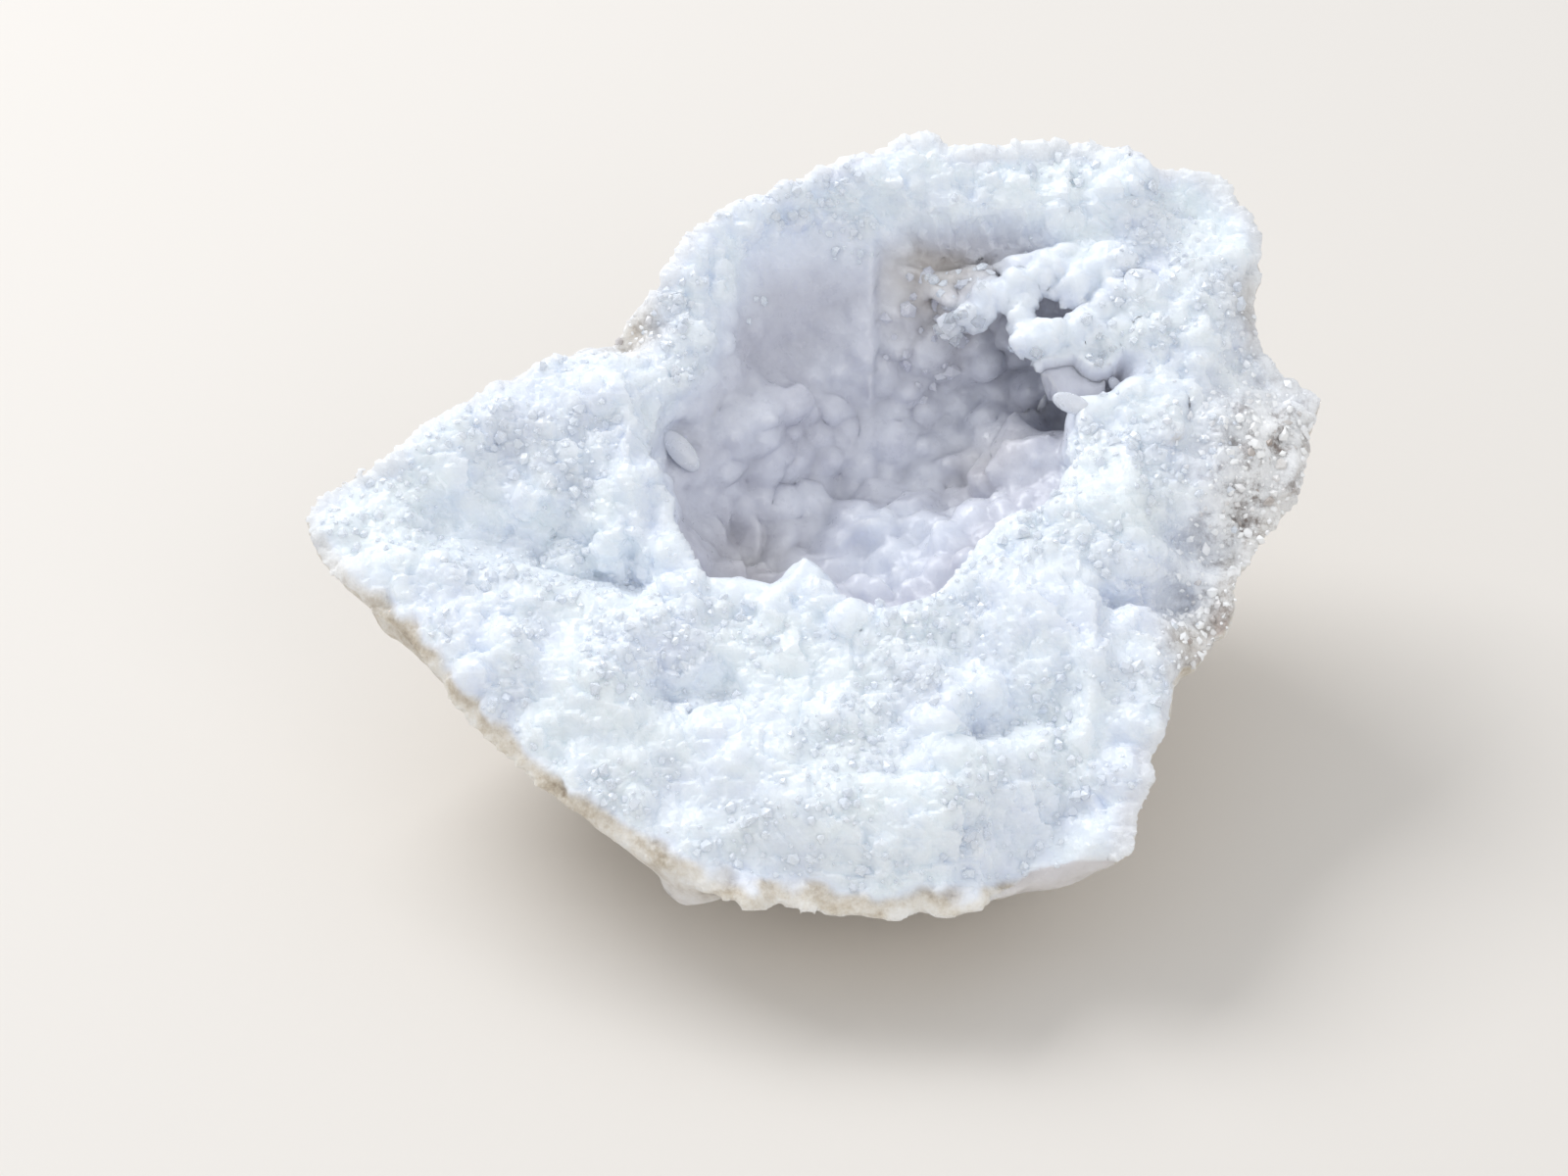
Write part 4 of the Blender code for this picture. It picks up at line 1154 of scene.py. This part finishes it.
def stone_material():
    """Milky quartz, greyer in the hollow by a painted shade, with chalk, stains, rust and rind by
    mask, and a grey painted shade on the clean facet and the knob.
    """
    material, tree, shader = material_tree("milky_quartz_rock")
    fine = colour_ramp(tree, noise_fac(tree, 900.0), FINE_QUARTZ)
    broad = colour_ramp(tree, noise_fac(tree, 160.0), BROAD_QUARTZ)
    quartz = mix(tree, noise_fac(tree, 300.0), fine, broad)
    hollow = colour_ramp(tree, noise_fac(tree, 260.0), SHADED_HOLLOW_QUARTZ)
    chalk = colour_ramp(tree, noise_fac(tree, 600.0, 6.0, 0.75), CHALK)
    stain = colour_ramp(tree, noise_fac(tree, 500.0, 6.0), STAIN)
    rust = colour_ramp(tree, noise_fac(tree, 900.0, 6.0), RUST)
    rind = colour_ramp(tree, noise_fac(tree, 420.0, 9.0, 0.72), RIND)
    # Painted shade: the quartz greyer and darker deep in the hollow
    colour = mix(tree, attribute(tree, "depth_and_shade"), quartz, hollow)
    colour = mix(tree, attribute(tree, "chalk"), colour, chalk)
    # Painted shade: grey on the clean facet and the knob, which face down into shadow
    colour = mix(tree, attribute(tree, "clean"), colour, (0.69, 0.67, 0.68))
    colour = mix(tree, number(tree, attribute(tree, "stain"), 0.0, 0.65), colour, stain)
    colour = mix(tree, attribute(tree, "rust"), colour, rust)
    colour = mix(tree, attribute(tree, "rind"), colour, rind)
    tree.links.new(colour, shader.inputs["Base Color"])
    roughness = number(tree, noise_fac(tree, 1500.0), 0.22, 0.5, 0.3, 0.7)
    roughness = mix(tree, attribute(tree, "rind"), roughness, (0.85, 0.85, 0.85))
    tree.links.new(roughness, shader.inputs["Roughness"])
    glints = glinting_normal(tree, ((0.5, 0.2), (0.24, 0.24)))
    normal = gritty_normal(tree, glints, attribute(tree, "rind"))
    tree.links.new(normal, shader.inputs["Normal"])
    shader.inputs["Subsurface Weight"].default_value = MILKY_WEIGHT
    shader.inputs["Subsurface Radius"].default_value = (1.0, 1.0, 1.0)
    shader.inputs["Subsurface Scale"].default_value = MILKY_RADIUS * MM
    shader.inputs["IOR"].default_value = QUARTZ_IOR
    return material


def grain_material():
    """Opaque grains of the matrix."""
    material, tree, shader = material_tree("quartz_grains")
    tint = attribute(tree, "tint")
    quartz, chalk = colour_ramp(tree, tint, GRAIN_QUARTZ), colour_ramp(tree, tint, GRAIN_CHALK)
    colour = mix(tree, attribute(tree, "chalk"), quartz, chalk)
    speckle = noise_fac(tree, 1800.0)
    colour = mix(tree, number(tree, speckle, 0.0, 0.35, 0.4, 0.7), colour, (0.97, 0.97, 0.98))
    tree.links.new(colour, shader.inputs["Base Color"])
    grainy_roughness(tree, shader, speckle, 0.15, 0.4)
    shader.inputs["IOR"].default_value = QUARTZ_IOR
    return material


def crystal_material():
    """Cloudy crystals."""
    # Cloudy crystals, greyer and darker deep in the hollow by a painted shade.
    material, tree, shader = material_tree("quartz_crystals")
    tint = attribute(tree, "tint")
    near, deep = colour_ramp(tree, tint, NEAR_CRYSTALS), colour_ramp(tree, tint, SHADED_DEEP_CRYSTALS)
    # Painted shade: crystals darker and greyer deep in the hollow
    colour = mix(tree, attribute(tree, "depth_and_shade"), near, deep)
    veil = number(tree, noise_fac(tree, 900.0), 0.0, 0.4, 0.45, 0.7)
    colour = mix(tree, veil, colour, (0.95, 0.95, 0.97))
    tree.links.new(colour, shader.inputs["Base Color"])
    grainy_roughness(tree, shader, noise_fac(tree, 1500.0), 0.12, 0.35)
    shader.inputs["IOR"].default_value = QUARTZ_IOR
    shader.inputs["Transmission Weight"].default_value = CLOUDY_TRANSMISSION
    tree.links.new(glinting_normal(tree, ((0.6, 0.16), (0.25, 0.1))), shader.inputs["Normal"])
    return material


def clear_material():
    """Clear crystals, by plain transmission."""
    material, tree, shader = material_tree("clear_quartz")
    tint = colour_ramp(tree, attribute(tree, "tint"), CLEAR_TINTS)
    haze = mix(tree, number(tree, noise_fac(tree, 1200.0), 0.0, 0.3, 0.45, 0.7), tint,
               (0.97, 0.97, 0.98))
    tree.links.new(haze, shader.inputs["Base Color"])
    grainy_roughness(tree, shader, noise_fac(tree, 1500.0), 0.04, 0.2)
    shader.inputs["IOR"].default_value = QUARTZ_IOR
    shader.inputs["Transmission Weight"].default_value = CLEAR_TRANSMISSION
    return material


# Studio


def build_studio():
    """Pale floor, even sky and two soft lights."""
    floor = bpy.data.meshes.new("floor")
    bm = bmesh.new()
    bmesh.ops.create_grid(bm, x_segments=1, y_segments=1, size=FLOOR_SIZE)
    bm.to_mesh(floor)
    bm.free()
    item = new_object("floor", floor)
    item.location.z = -FLOOR_DROP
    material, _, shader = material_tree("pale_floor")
    shader.inputs["Base Color"].default_value = (*FLOOR_COLOUR, 1.0)
    shader.inputs["Roughness"].default_value = 0.7
    item.data.materials.append(material)

    world = bpy.data.worlds.new("studio")
    bpy.context.scene.world = world
    world.use_nodes = True
    background = world.node_tree.nodes["Background"]
    background.inputs["Color"].default_value = (*SKY_COLOUR, 1.0)
    background.inputs["Strength"].default_value = SKY_STRENGTH

    def area(name, place, size, power, colour):
        light = bpy.data.lights.new(name, "AREA")
        light.shape = "RECTANGLE"
        light.size, light.size_y = size
        light.energy = power
        light.color = colour
        lamp = bpy.data.objects.new(name, light)
        lamp.location = place
        lamp.rotation_euler = Vector(place).to_track_quat("Z", "Y").to_euler()
        bpy.context.scene.collection.objects.link(lamp)

    area("window", (-0.22, 0.20, 0.34), (0.28, 0.22), 1.2, (0.97, 0.98, 1.0))
    area("front_fill", (0.18, -0.35, 0.30), (0.35, 0.3), 0.4, (1.0, 0.98, 0.96))


def build_camera():
    """Camera of the photograph."""
    lens = bpy.data.cameras.new("camera")
    lens.lens = CAMERA_LENS
    lens.sensor_width = 36.0
    lens.clip_start = 0.01
    camera = bpy.data.objects.new("camera", lens)
    camera.location = CAMERA_PLACE * MM
    camera.rotation_euler = (math.pi / 2.0 - CAMERA_HEIGHT, 0.0, 0.0)
    bpy.context.scene.collection.objects.link(camera)
    bpy.context.scene.camera = camera
    bpy.context.scene.view_settings.view_transform = "Standard"


outline = reach_around(face_place(read_points(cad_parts["crystal_crust"].data)))
stone = build_stone(outline)
hollow_crystals = build_hollow_crystals(stone, outline)
clear_crystals = build_clear_crystals(stone)
lens_crystals = build_lens_crystals(stone)
face_grains = build_face_grains(stone)
matrix_grains = build_matrix_grains(stone)
stone.data.materials.append(stone_material())
crystal_look = crystal_material()
for item in (hollow_crystals, lens_crystals, face_grains):
    item.data.materials.append(crystal_look)
clear_crystals.data.materials.append(clear_material())
matrix_grains.data.materials.append(grain_material())
build_studio()
build_camera()
